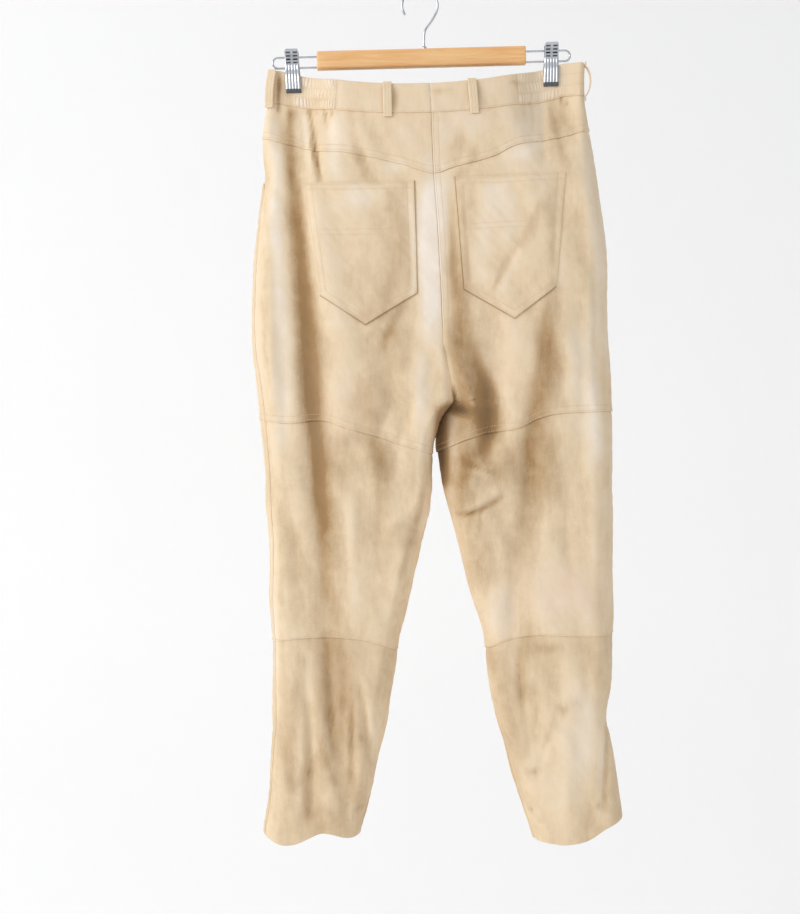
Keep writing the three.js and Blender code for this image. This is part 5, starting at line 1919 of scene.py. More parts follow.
@dataclass
class Half:
    """The cut pieces of the wearer's left or right half."""

    side: Side
    scoop_start: float = 92.0
    scoop_depth: float = -250.0
    scoop_bow: float = 0.62
    facing_behind: float = 16.0
    cloth: HangingCloth = field(init=False)
    pieces: dict[str, CutPiece] = field(default_factory=dict)

    def __post_init__(self) -> None:
        """Lays out the cloth of this half."""
        self.cloth = HangingCloth(self.side)

    def seam(self, height: Array) -> Array:
        """The turn of the side seam."""
        return SIDE_SEAM[self.side].column("turn", height)

    def back_turns(self, height: Array) -> tuple[Array, Array]:
        """The turns of the back."""
        seam = self.seam(height)
        return np.zeros_like(seam), seam

    def front_turns(self, height: Array) -> tuple[Array, Array]:
        """The turns of the front."""
        seam = self.seam(height)
        return seam, np.ones_like(seam)

    def scoop_turn(self, height: Array, behind: float = 0.0) -> Array:
        """The turn of the front pocket's mouth.

        Args:
            height: Heights.
            behind: How far in from the mouth the line is moved.

        Returns:
            Turns, which meet the side seam at the mouth's foot and stay on it below.
        """
        height = np.asarray(height, float)
        hand = self.side.hand
        centre = float(BODY.column("centre", Line.WAIST_SEAM.value))
        start = centre + hand * (self.scoop_start - behind)
        top = float(line_height(Line.WAIST_SEAM, np.asarray(start), self.side, Face.FRONT)) + 4
        bottom = self.scoop_depth - behind
        share = np.clip((top - height) / (top - bottom), 0.0, 1.0)
        outside = float(BODY.column(self.side.value, bottom))
        x = mix(start, outside, share ** ((1.0 + self.scoop_bow) ** 2))
        turn = self.cloth.turn_at(x, height, Face.FRONT)
        seam = self.seam(height)
        turn = mix(np.maximum(turn, seam), seam, ease((share - 0.72) / 0.28))
        return np.where(height < bottom, seam, turn)

    def mouth_turns(self, height: Array) -> tuple[Array, Array]:
        """The turns of the front inside the pocket's mouth."""
        edge = self.scoop_turn(height)
        return edge, np.ones_like(edge)

    def facing_turns(self, height: Array) -> tuple[Array, Array]:
        """The turns of the facing behind the pocket's mouth."""
        return self.seam(height), np.maximum(
            self.scoop_turn(height, self.facing_behind), self.seam(height) + 0.02
        )

    def cut(self, label: str, lines: tuple[Line, Line], turns: Callable,
            edges: Sequence[SewnEdge], **sizes: object) -> CutPiece:
        """Adds a cut piece to this half.

        Args:
            label: Its name without the side.
            lines: The lines above and below it.
            turns: Its turns by height.
            edges: Its top, lower, first and last edges.
            sizes: Its finish, its slot and other sizes.

        Returns:
            The piece.
        """
        sewn = dict(zip(Edge, edges))
        self.pieces[label] = CutPiece(label, self.cloth, *lines, turns, sewn, **sizes)
        return self.pieces[label]

    def lay_out(self) -> None:
        """Cuts the legs, the seat and the yoke."""
        right = self.side is Side.RIGHT
        seat = SewnEdge(rise=0.4, rows=(2.0, 8.0)) if right else SewnEdge(rise=-0.5)
        strip = SewnEdge(rise=-0.2, reach=4.0) if right else SewnEdge(rise=0.35, rows=(2.0, 8.5))
        outer, plain = SewnEdge(rise=-0.25, reach=4.0), PLAIN_SEAM
        knee = SewnEdge(rise=0.3, reach=4.0, rows=(1.8,))
        back, front, mouth = self.back_turns, self.front_turns, self.mouth_turns
        waist, yoke, thigh, knees, hem = (
            Line.WAIST_SEAM, Line.YOKE, Line.THIGH, Line.KNEE, Line.HEM
        )
        leg, behind = {"finish": SUEDE_LOWER}, {"lift": -2.0, "thick": 1.1}
        for label, upper, lower, turns, low, start, end, sizes in (
            ("yoke", waist, yoke, back, OVERLAP, seat, outer, {}),
            ("back_upper", yoke, thigh, back, OVERLAP, seat, outer, {}),
            ("back_middle", thigh, knees, back, knee, plain, outer, {}),
            ("back_lower", knees, hem, back, HEMMED, plain, outer, leg),
            ("front_upper", waist, thigh, mouth, OVERLAP, strip, plain, {}),
            ("pocket_facing", waist, Line.FACING_FOOT, self.facing_turns, plain, plain, plain,
             behind),
            ("front_middle", thigh, knees, front, knee, strip, plain, {}),
            ("front_lower", knees, hem, front, HEMMED, strip, plain, leg),
        ):
            self.cut(label, (upper, lower), turns, (TUCKED, low, start, end), **sizes)

    def build(self) -> None:
        """Builds every cut piece and its stitching."""
        self.lay_out()
        rows = Stitching()
        for piece in self.pieces.values():
            piece.build()
            piece.sew_all(rows)
        rows.build(f"seam_stitching_{self.side.value}", "suede")


@dataclass(frozen=True)
class Shirring:
    """Elastic stitched into the band: uneven ripples in channels between stitch rows."""

    side: Side
    pitch: float = 4.0
    rise: float = 2.1
    channels: int = 3
    fade: float = 6.0
    under_clip: float = 0.2
    slack: float = 0.65

    def relief(self, points: Array, turn: Array, down: Array) -> Array:
        """How far the ripples stand out.

        Args:
            points: Points of the band.
            turn: Their turns.
            down: Shares of the way down the band.

        Returns:
            Heights.
        """
        inner, outer = ELASTIC_SPAN[self.side]
        x = points[..., 0]
        length = abs(outer - inner)
        gone = np.abs(x - inner)
        edges = np.clip(np.minimum(gone, length - gone) / self.fade, 0.0, 1.0)
        place = np.clip(down, 0.0, 0.999) * self.channels
        channel = np.floor(place)
        bed = np.sin(math.pi * (place - channel)) ** 0.55
        wander = 0.7 * np.sin(gone / 9.0 + 2.3 * channel) + 0.5 * np.sin(gone / 4.1 + 5.0 * channel)
        slant = 1.9 * np.sin(gone / 11.0 + 2.1 * channel + 0.8) * (place - channel - 0.5)
        ridge = np.abs(np.sin(math.pi * gone / self.pitch + wander + slant)) ** 0.55
        uneven = 0.62 + 0.38 * np.sin(gone / 5.3 + 2.7 * channel + 0.6)
        beside = ease((np.abs(x - CLIP_AT[self.side]) - 9.5) / 2.5)
        below = ease((PINCH_LIP - points[..., 2]) / 3.0)
        free = mix(self.under_clip, 1.0, np.maximum(beside, below))
        back = turn < 0.5
        drawn_in = 1.0 if self.side is Side.LEFT else self.slack
        return self.rise * drawn_in * edges * bed * ridge * uneven * free * back


@dataclass
class Waistband:
    """The band of one half: plain at the back, shirred to the side, plain in front."""

    half: Half
    thick: float = 2.2
    shirring_step: tuple[float, float] = (0.62, 1.3)
    cut_ratio: float = 1.35

    def build(self) -> None:
        """Builds the band's three pieces and their stitching."""
        half, side = self.half, self.half.side
        lines = (Line.WAIST_EDGE, Line.WAIST_SEAM)
        middle = np.asarray(Line.WAIST_EDGE.value - BAND_WIDTH[0] / 2)
        inner = float(half.cloth.turn_at(np.asarray(ELASTIC_SPAN[side][0]), middle, Face.BACK))
        seam = float(half.seam(middle))
        fold = SewnEdge(rise=-0.5, reach=1.6)
        foot = SewnEdge(rise=0.25, reach=4.0, rows=(1.6,))
        joint = SewnEdge(rise=-0.3, reach=1.8, gap=-0.17)
        sewn = SewnEdge(rise=-0.2, reach=2.0, rows=(1.4,), pucker=0.1)

        def span(first: float, last: float) -> Callable[[Array], tuple[Array, Array]]:
            """Turns that stay the same at every height."""
            return lambda height: tuple(
                np.full_like(height, turn, dtype=float) for turn in (first, last)
            )

        shirred = {
            "slot": "suede_shirred", "step": self.shirring_step,
            "extra": Shirring(side).relief, "ease_cut": self.cut_ratio,
        }
        rows = Stitching(**FINE_ROWS)
        for part, first, last, end, sizes in (
            ("back", 0.0, inner, sewn, {}),
            ("elastic", inner, seam, joint, shirred),
            ("front", seam, 1.0, joint, {}),
        ):
            piece = half.cut(f"waistband_{part}", lines, span(first, last),
                             (fold, foot, joint, end), finish=SUEDE_BAND, thick=self.thick,
                             **sizes)
            piece.build()
            piece.sew_all(rows)
        for channel in (1, 2):
            half.pieces["waistband_elastic"].sew_level(rows, channel / 3, (0.0, 0.86))
        rows.build(f"band_stitching_{side.value}", "suede_band")


@dataclass
class BackPocket:
    """A five-sided patch pocket, topstitched twice round and twice across."""

    half: Half
    top_inner: tuple[float, float]
    top_outer: tuple[float, float]
    low_outer: tuple[float, float]
    tip: tuple[float, float]
    low_inner: tuple[float, float]
    thick: float = 1.5
    lift: float = 0.2
    sag: float = 2.0
    gape: float = 0.9
    rows: tuple[float, float] = (2.4, 9.4)
    mouth_rows: tuple[float, float] = (2.0, 8.4)
    across_rows: tuple[float, float] = (60.0, 66.6)
    row_depth: float = 0.12
    row_lift: float = 0.2
    slope: float = 0.87
    rim_shadow_tone: float = 1.6
    step: float = 3.2

    @property
    def wide(self) -> float:
        """The width of the mouth."""
        return abs(self.top_outer[0] - self.top_inner[0])

    @property
    def tip_share(self) -> float:
        """How far across the lower point stands."""
        return (self.tip[0] - self.low_inner[0]) / (self.low_outer[0] - self.low_inner[0])

    def outline(self, a: Array, b: Array) -> tuple[Array, Array]:
        """Distance across and height, by share across and share down."""
        part = self.tip_share
        before = mix(self.low_inner[1], self.tip[1], a / part)
        after = mix(self.tip[1], self.low_outer[1], (a - part) / (1.0 - part))
        low = np.where(a < part, before, after)
        top = mix(self.top_inner[1], self.top_outer[1], a) - self.sag * np.sin(math.pi * a)
        x = mix(mix(self.top_inner[0], self.top_outer[0], a),
                mix(self.low_inner[0], self.low_outer[0], a), b)
        return x, mix(top, low, b)

    def row_height(self, below: float, x: Array) -> Array:
        """The height of a straight row at a distance below the pocket's mouth."""
        share = (x - self.top_inner[0]) / (self.top_outer[0] - self.top_inner[0])
        return mix(self.top_inner[1], self.top_outer[1], share) - below

    def sizes(self, a: Array, b: Array) -> tuple[Array, Array]:
        """The pocket's width at a level and its depth at a share across."""
        wide = mix(self.wide, abs(self.low_outer[0] - self.low_inner[0]), b)
        deep = self.outline(a, np.zeros_like(a))[1] - self.outline(a, np.ones_like(a))[1]
        return wide, deep

    def surface(self, a: Array, b: Array, lift: float = 0.0) -> tuple[Array, Array]:
        """The pocket's outer face.

        Args:
            a: Shares across, from the inner edge.
            b: Shares down.
            lift: How far the points stand off the face.

        Returns:
            Points, and the way out at each.
        """
        a, b = same_shape(a, b)
        x, z = self.outline(a, b)
        turn = self.half.cloth.turn_at(x, z, Face.BACK)
        share = turn / self.half.seam(z)
        points, out = self.half.pieces["back_upper"].surface(turn, z, share)
        wide, deep = self.sizes(a, b)
        near = [a * wide, (1.0 - a) * wide, (1.0 - b) * deep * self.slope]
        mouth, beside = b * deep, np.minimum(near[0], near[1])
        relief = np.zeros(a.shape)

        def press(distance: Array, rows: Sequence[float], rounding: float) -> None:
            """Rounds one edge off and presses its rows of stitches in."""
            relief[...] -= rounding * bell(distance, 0.8)
            for row in rows:
                relief[...] -= self.row_depth * bell(distance - row, 1.0)

        for distance in near:
            press(distance, self.rows, 0.5)
        press(mouth, self.mouth_rows, 0.4)
        for row in self.across_rows:
            off = z - self.row_height(row, x)
            relief -= self.row_depth * bell(off, 1.0) * (beside > self.rows[1])
        relief += self.gape * bell(mouth, 18.0) * np.sin(math.pi * a) ** 2
        edge = np.minimum(beside, near[2])
        relief += 0.16 * np.sin((z + 0.7 * x) / 2.6) * bell(edge - 5.0, 5.0)
        return points + out * (relief + self.lift + self.thick + lift)[..., None], out

    def edge_shadow_tone(self, a: Array, b: Array) -> Array:
        """Painted shadow along the inner and lower edges, by share across and share down."""
        wide, deep = self.sizes(a, b)
        low = bell((1.0 - b) * deep * self.slope, 1.0)
        return self.rim_shadow_tone * np.maximum(bell(a * wide, 1.0), low)

    def shares(self, length: float, insets: Sequence[float], extra: Sequence[float] = (),
               ) -> Array:
        """Shares with close-set lines at both ends and an even step between.

        Args:
            length: The length in millimetres.
            insets: Distances from each end.
            extra: Shares that are added.

        Returns:
            The shares in order.
        """
        ends = np.array(insets) / length
        count = max(2, int((length - 2 * insets[-1]) / self.step))
        inner = np.linspace(ends[-1], 1.0 - ends[-1], count)[1:-1]
        every = np.unique(np.concatenate([ends, inner, 1.0 - ends, np.array(extra)]))
        keep = [0]
        for i in range(1, len(every)):
            if every[i] - every[keep[-1]] > 0.25 / length:
                keep.append(i)
        keep[-1] = len(every) - 1
        return every[keep]

    def build(self) -> None:
        """Builds the pocket and its stitching."""
        close = [0.0, 0.5, 1.2, 1.7, 2.4, 3.1, 4.4, 6.4, 8.6, 9.4, 10.2, 12.0]
        tall = self.top_inner[1] - self.tip[1]
        a, b = self.shares(self.wide, close, [self.tip_share]), self.shares(tall, close)
        grid_a, grid_b = np.meshgrid(a, b)
        outer, out = self.surface(grid_a, grid_b)
        walls = shell(outer, outer - out * self.thick, self.half.side is Side.RIGHT)
        name = f"back_pocket_{self.half.side.value}"
        made = mesh_object(f"{name}_sewn", *walls, SUEDE_POCKET.material())
        # Painted shadow along the pocket's inner and lower edges.
        dark = self.edge_shadow_tone(grid_a, grid_b)
        self.half.pieces["back_upper"].paint(made, outer, np.zeros(grid_a.shape), dark)
        dress(made, "suede_pocket", name)
        wide, tall = self.wide * 1.02, tall * 1.01
        self.sew(name)

    def sew(self, name: str) -> None:
        """Builds the rows round the pocket, along its mouth and across its middle."""
        rows = Stitching(**FINE_ROWS)
        deep, part = self.top_inner[1] - self.low_inner[1], self.tip_share
        run = np.linspace(0.0, 1.0, 160)

        def row(a: Array, b: Array) -> None:
            """Adds one row by its shares across and down."""
            rows.run(*self.surface(a, b, self.row_lift))

        for inset in self.rows:
            across = inset / self.wide
            for a in (across * 1.08, 1.0 - across * 1.08):
                row(np.full(run.shape, a), mix(0.006, 1 - inset / deep, run))
            for first, last in ((across, part), (part, 1.0 - across)):
                a = mix(first, last, run)
                row(a, 1.0 - inset * 1.15 / self.sizes(a, np.ones_like(a))[1])
        for inset in self.mouth_rows:
            a = mix(0.01, 0.99, run)
            row(a, inset / self.sizes(a, np.zeros_like(a))[1])
        for below in self.across_rows:
            a, b = mix(0.085, 0.915, run), np.full(run.shape, below / deep)
            for _ in range(3):
                x, z = self.outline(a, b)
                b = b + (z - self.row_height(below, x)) / self.sizes(a, b)[1]
            row(a, b)
        rows.build(f"{name}_stitching", "suede_pocket")


@dataclass
class BeltLoop:
    """A folded strap tacked over the band, with two rows of stitching down it."""

    half: Half
    label: str
    turn: float
    stand: float = 3.4
    lean: float = 0.0
    width: float = 11.0
    thick: float = 1.6
    seat: float = 0.5
    tacked: float = 0.125
    above: float = 1.5
    below: float = 5.5
    row_off: float = 2.0
    tacks: tuple[float, float] = (0.075, 0.925)

    def surface(self, across: Array, down: Array, lift: Array | float) -> tuple[Array, Array]:
        """The strap's inner face, moved out.

        Args:
            across: Distances from its middle.
            down: Shares of the way down.
            lift: How far the points stand off the inner face.

        Returns:
            Points, and the way out at each.
        """
        cloth = self.half.cloth
        turn = np.full(down.shape, self.turn)
        top = cloth.line(Line.WAIST_EDGE, turn) + self.above
        low = cloth.line(Line.WAIST_SEAM, turn) - self.below
        height = mix(top, low, down)
        out = cloth.facing(turn, (top + low) / 2)
        level = unit(out * np.array([1.0, 1.0, 0.0]))
        side = np.stack([-level[..., 1], level[..., 0], 0.0 * down], axis=-1)
        free = np.clip((down - self.tacked) / (1.0 - 2.0 * self.tacked), 0.0, 1.0)
        off = self.seat + self.stand * np.sin(math.pi * free) ** 0.6 + lift
        shift = across + self.lean * (down - 0.5)
        points = cloth.point(turn, height) + side * shift[..., None] + level * off[..., None]
        return points, level

    def build(self) -> None:
        """Builds the strap and its stitching."""
        across = np.linspace(-0.5, 0.5, 15) * self.width
        down = np.unique(np.concatenate([
            np.linspace(0, 1, 46), [0.006, 0.014, 0.986, 0.994], np.linspace(0.1, 0.16, 7),
            np.linspace(0.84, 0.9, 7),
        ]))
        grid_x, grid_d = np.meshgrid(across, down)
        edge = self.width / 2 - np.abs(grid_x)
        long = self.below + self.above + BAND_WIDTH[0]
        end = np.minimum(grid_d, 1.0 - grid_d) * long
        face = self.thick - 0.6 * bell(edge, 0.7) - 0.5 * bell(end, 0.7)
        face = face - 0.3 * bell(np.abs(grid_x) - self.row_off, 0.7) + 0.25 * bell(end - 3.0, 2.2)
        outer, _ = self.surface(grid_x, grid_d, face)
        inner, _ = self.surface(grid_x, grid_d, np.zeros(face.shape) + 0.15 * bell(edge, 0.7))
        name = f"{self.label}_{self.half.side.value}"
        walls = shell(outer, inner, True)
        made = mesh_object(f"{name}_strap", *walls, SUEDE_LOOP.material())
        dress(made, "suede_loop", name)
        rows = Stitching(pitch=2.4, length=1.7, half_width=0.26)
        run = np.linspace(0.03, 0.97, 90)
        for x in (-self.row_off, self.row_off):
            rows.run(*self.surface(np.full(run.shape, x), run, self.thick - 0.1))
        for d in self.tacks:
            x = np.linspace(-0.42, 0.42, 24) * self.width
            rows.run(*self.surface(x, np.full(x.shape, d), self.thick + 0.15))
        rows.build(f"{name}_stitching", "suede_loop")


@dataclass
class Fly:
    """The fly's outer layer, lapped right over left, with its curved double row."""

    half: Half
    width: float = 38.0
    length: float = 165.0
    corner: float = 30.0
    toe: float = 6.0
    thick: float = 1.4
    lift: float = 0.25
    rows: tuple[float, float] = (2.2, 8.6)

    def surface(self, inset: Array, down: Array, lift: Array | float) -> tuple[Array, Array]:
        """The fly's face, by distance in from its curved edge.

        Args:
            inset: Distances in from the outer edge, up to the centre.
            down: Shares of the way down.
            lift: How far the points stand off the front.

        Returns:
            Points, and the way out at each.
        """
        centre = float(BODY.column("centre", Line.WAIST_SEAM.value))
        top = float(line_height(Line.WAIST_SEAM, np.asarray(centre), Side.RIGHT, Face.FRONT))
        height = mix(top - SEAM_GAP, top - self.length, down)
        rise = np.clip((height - (top - self.length)) / self.corner, 0.0, 1.0)
        bow = np.sqrt(np.clip(1.0 - (1.0 - rise) ** 2, 0.0, 1.0))
        edge = mix(self.toe, self.width, bow)
        x = centre + SEAM_GAP + np.maximum(edge - inset, 0.0)
        turn = self.half.cloth.turn_at(x, height, Face.FRONT)
        panel = self.half.pieces["front_upper"]
        start, end = panel.turns(height)
        points, out = panel.surface(turn, height, (turn - start) / (end - start))
        return points + out * np.asarray(self.lift + lift)[..., None], out

    def build(self) -> None:
        """Builds the fly and its stitching."""
        across = np.unique(np.concatenate([
            [0.0, 0.5, 1.2, 1.6, 2.2, 2.8, 4.0, 6.0, 8.0, 8.6, 9.2], np.linspace(10.5, 38, 12),
        ]))
        down = np.unique(np.concatenate([[0.003, 0.008], np.linspace(0, 0.8, 44),
                                         np.linspace(0.8, 1.0, 26)]))
        inset, level = np.meshgrid(across, down)
        face = self.thick - 0.4 * bell(inset, 0.7)
        for row in self.rows:
            face = face - 0.28 * bell(inset - row, 0.9)
        outer, out = self.surface(inset, level, face)
        inner = outer - out * (self.thick - 0.2)
        made = mesh_object("fly_facing_sewn", *shell(outer, inner, False), SUEDE.material())
        self.half.pieces["front_upper"].paint(made, outer, np.ones(inset.shape))
        mesh_clean(made)
        dress(made, "suede", "fly_facing")
        rows = Stitching(**FINE_ROWS)
        run = np.linspace(0.01, 0.985, 200)
        for row in self.rows:
            stop = run[run < 1.0 - row / self.length * 0.8]
            rows.run(*self.surface(np.full(stop.shape, row), stop, self.thick + 0.1))
        rows.build("fly_stitching", "suede")


@dataclass
class WaistTab:
    """The band's rounded end, lapped over the other half and buttoned."""

    halves: dict[Side, Half]
    left: float = 17.0
    right: float = 26.0
    margin: float = 2.5
    thick: float = 2.1
    lift: float = 0.35
    button_radius: float = 8.5
    button_thick: float = 3.2
    button_gap: float = 0.3
    row_inset: float = 2.4

    def limits(self) -> tuple[float, float, float]:
        """The centre across, and the tab's top and bottom."""
        centre = float(BODY.column("centre", Line.WAIST_EDGE.value))
        at = np.asarray(centre)
        top = float(line_height(Line.WAIST_EDGE, at, Side.RIGHT, Face.FRONT)) - self.margin
        low = float(line_height(Line.WAIST_SEAM, at, Side.RIGHT, Face.FRONT)) + self.margin
        return centre, top, low

    def surface(self, x: Array, z: Array, lift: Array | float) -> tuple[Array, Array]:
        """The band's front, moved out.

        Args:
            x: Distances across.
            z: Heights.
            lift: How far the points stand off the band.

        Returns:
            Points, and the way out at each.
        """
        centre = self.limits()[0]
        found = []
        for side in Side:
            cloth = self.halves[side].cloth
            turn = cloth.turn_at(x, z, Face.FRONT)
            found.append((cloth.point(turn, z), cloth.facing(np.minimum(turn, 0.99), z)))
        left = (x < centre)[..., None]
        points = np.where(left, found[0][0], found[1][0])
        out = unit(np.where(left, found[0][1], found[1][1]) * 0.4 + np.array([0.0, 0.6, 0.0]))
        points = points * np.array([0.0, 1.0, 1.0]) + np.stack([x, 0 * x, 0 * x], axis=-1)
        return points + out * np.asarray(self.lift + lift)[..., None], out

    def build(self) -> None:
        """Builds the tab, its stitching and its button."""
        centre, top, low = self.limits()
        middle, half = (top + low) / 2, (top - low) / 2
        a = np.concatenate([np.linspace(0, 0.12, 8), np.linspace(0.15, 1.0, 18)])
        b = np.sin(np.linspace(-math.pi / 2, math.pi / 2, 26)) / 2 + 0.5
        share, level = np.meshgrid(a, b)
        z = mix(top, low, level)
        bow = half - np.sqrt(np.clip(half * half - (z - middle) ** 2, 0.0, None))
        start = centre - self.left + bow
        x = mix(start, centre + self.right, share)
        edge = np.minimum(np.minimum(x - start, top - z), z - low)
        face = self.thick - 0.6 * bell(edge, 0.8) - 0.28 * bell(edge - self.row_inset, 0.8)
        outer, out = self.surface(x, z, face)
        inner = outer - out * (self.thick - 0.4)
        walls = shell(outer, inner, True)
        made = mesh_object("waistband_tab_sewn", *walls, SUEDE_BAND.material())
        mesh_clean(made)
        dress(made, "suede_band", "waistband_tab")
        self.sew(centre, middle, half)
        self.build_button(centre, middle)

    def sew(self, centre: float, middle: float, half: float) -> None:
        """Builds the row of stitches round the tab."""
        angle = np.linspace(math.pi / 2, 1.5 * math.pi, 60)
        reach = half - self.row_inset
        bend_x = centre - self.left + half + reach * np.cos(angle)
        bend_z = middle + reach * np.sin(angle)
        flat = np.linspace(centre + self.right - 1.0, centre - self.left + half, 30)
        x = np.concatenate([flat, bend_x, flat[::-1]])
        z = np.concatenate([np.full(30, middle + reach), bend_z, np.full(30, middle - reach)])
        rows = Stitching(pitch=2.6, length=1.8)
        rows.run(*self.surface(x, z, self.thick + 0.1))
        rows.build("tab_stitching", "suede_band")

    def build_button(self, centre: float, middle: float) -> None:
        """Builds a four-hole button with a dished face, and the thread through it."""
        at, out = self.surface(np.array([centre]), np.array([middle]), self.thick)
        at, out = at[0], out[0]
        right = unit(np.cross(out, np.array([0.0, 0.0, 1.0])))
        up = np.cross(right, out)
        r, thick = self.button_radius, self.button_thick
        profile = np.array([
            [0.0, 0.3], [r * 0.7, 0.3], [r * 0.93, 0.7], [r, 1.4], [r * 0.99, 2.2],
            [r * 0.93, thick - 0.3], [r * 0.84, thick], [r * 0.74, thick - 0.2],
            [r * 0.66, thick - 0.9], [r * 0.5, thick - 1.2], [0.0, thick - 1.25],
        ])
        steps = 48
        angle = np.linspace(0, 2 * math.pi, steps, endpoint=False)
        ring = np.stack([np.cos(angle), np.sin(angle)], axis=1)
        flat = ring[:, :1] * right + ring[:, 1:] * up
        points = [at + out * (profile[0, 1] + self.button_gap)]
        for radius, rise in profile[1:-1]:
            points += list(at + out * (rise + self.button_gap) + radius * flat)
        points.append(at + out * (profile[-1, 1] + self.button_gap))
        faces: list[list[int]] = []
        last = len(points) - 1
        for k in range(steps):
            after = (k + 1) % steps
            faces.append([0, 1 + after, 1 + k])
            for level in range(len(profile) - 3):
                a, b = 1 + level * steps, 1 + (level + 1) * steps
                faces.append([a + k, a + after, b + after, b + k])
            a = 1 + (len(profile) - 3) * steps
            faces.append([a + k, a + after, last])
        button = mesh_object("waist_button_turned", np.array(points), faces, HORN.material(), 60)
        face_out(button)
        dress(button, "horn", "waist_button")
        thread = Stitching(pitch=3.4, length=3.2, half_width=0.55, half_height=0.5)
        for shift in (-1.4, 1.4):
            ends = [at + out * (thick - 0.9) + right * shift + up * s for s in (-1.7, 1.7)]
            thread.run(np.array(ends), np.stack([out, out]))
        thread.build("button_thread", "horn")


def smooth_path(corners: Sequence[Sequence[float]], per: int = 8) -> Array:
    """Points along a smooth line through corners.

    Args:
        corners: The points that it passes through.
        per: Points for each stretch.

    Returns:
        The line's points.
    """
    given = np.array(corners, dtype=float)
    padded = np.vstack([2 * given[0] - given[1], given, 2 * given[-1] - given[-2]])
    line = []
    for i in range(1, len(padded) - 2):
        before, start, end, after = padded[i - 1: i + 3]
        first, second, third = (
            max(np.linalg.norm(end_ - start_), 1e-6) ** 0.5
            for start_, end_ in ((before, start), (start, end), (end, after))
        )
        leave = (start - before) / first - (end - before) / (first + second)
        leave = (leave + (end - start) / second) * second
        arrive = (end - start) / second - (after - start) / (second + third)
        arrive = (arrive + (after - end) / third) * second
        for s in np.arange(per) / per:
            line.append(
                (2 * s**3 - 3 * s**2 + 1) * start + (s**3 - 2 * s**2 + s) * leave
                + (3 * s**2 - 2 * s**3) * end + (s**3 - s**2) * arrive
            )
    line.append(given[-1])
    return np.array(line)


def wire(name: str, path: Array, radius: float, sides: int, material: bpy.types.Material,
         ) -> bpy.types.Object:
    """A round wire along a path, with rounded ends.

    Args:
        name: The object's name.
        path: The path's points.
        radius: The wire's radius.
        sides: Sides of its section.
        material: The finish.

    Returns:
        The object.
    """
    along = unit(np.gradient(path, axis=0))
    side = unit(np.cross(along[0], np.array([0.31, 0.9, 0.2])))
    angle = np.linspace(0, 2 * math.pi, sides, endpoint=False)[:, None]
    rings = []

    def ring(centre: Array, scale: float) -> None:
        """Adds one section."""
        other = np.cross(tangent, side)
        rings.append(centre + radius * scale * (np.cos(angle) * side + np.sin(angle) * other))

    for i, (centre, tangent) in enumerate(zip(path, along)):
        side = unit(side - tangent * np.dot(side, tangent))
        if i == 0:
            for k in (0.97, 0.7, 0.35):
                ring(centre - tangent * radius * (k - 0.1), math.sqrt(1 - k * k))
        ring(centre, 1.0)
        if i == len(path) - 1:
            for k in (0.35, 0.7, 0.97):
                ring(centre + tangent * radius * (k - 0.1), math.sqrt(1 - k * k))
    faces = tube_faces(len(rings), sides)
    made = mesh_object(name, np.concatenate(rings), faces, material, 60.0)
    face_out(made)
    return made


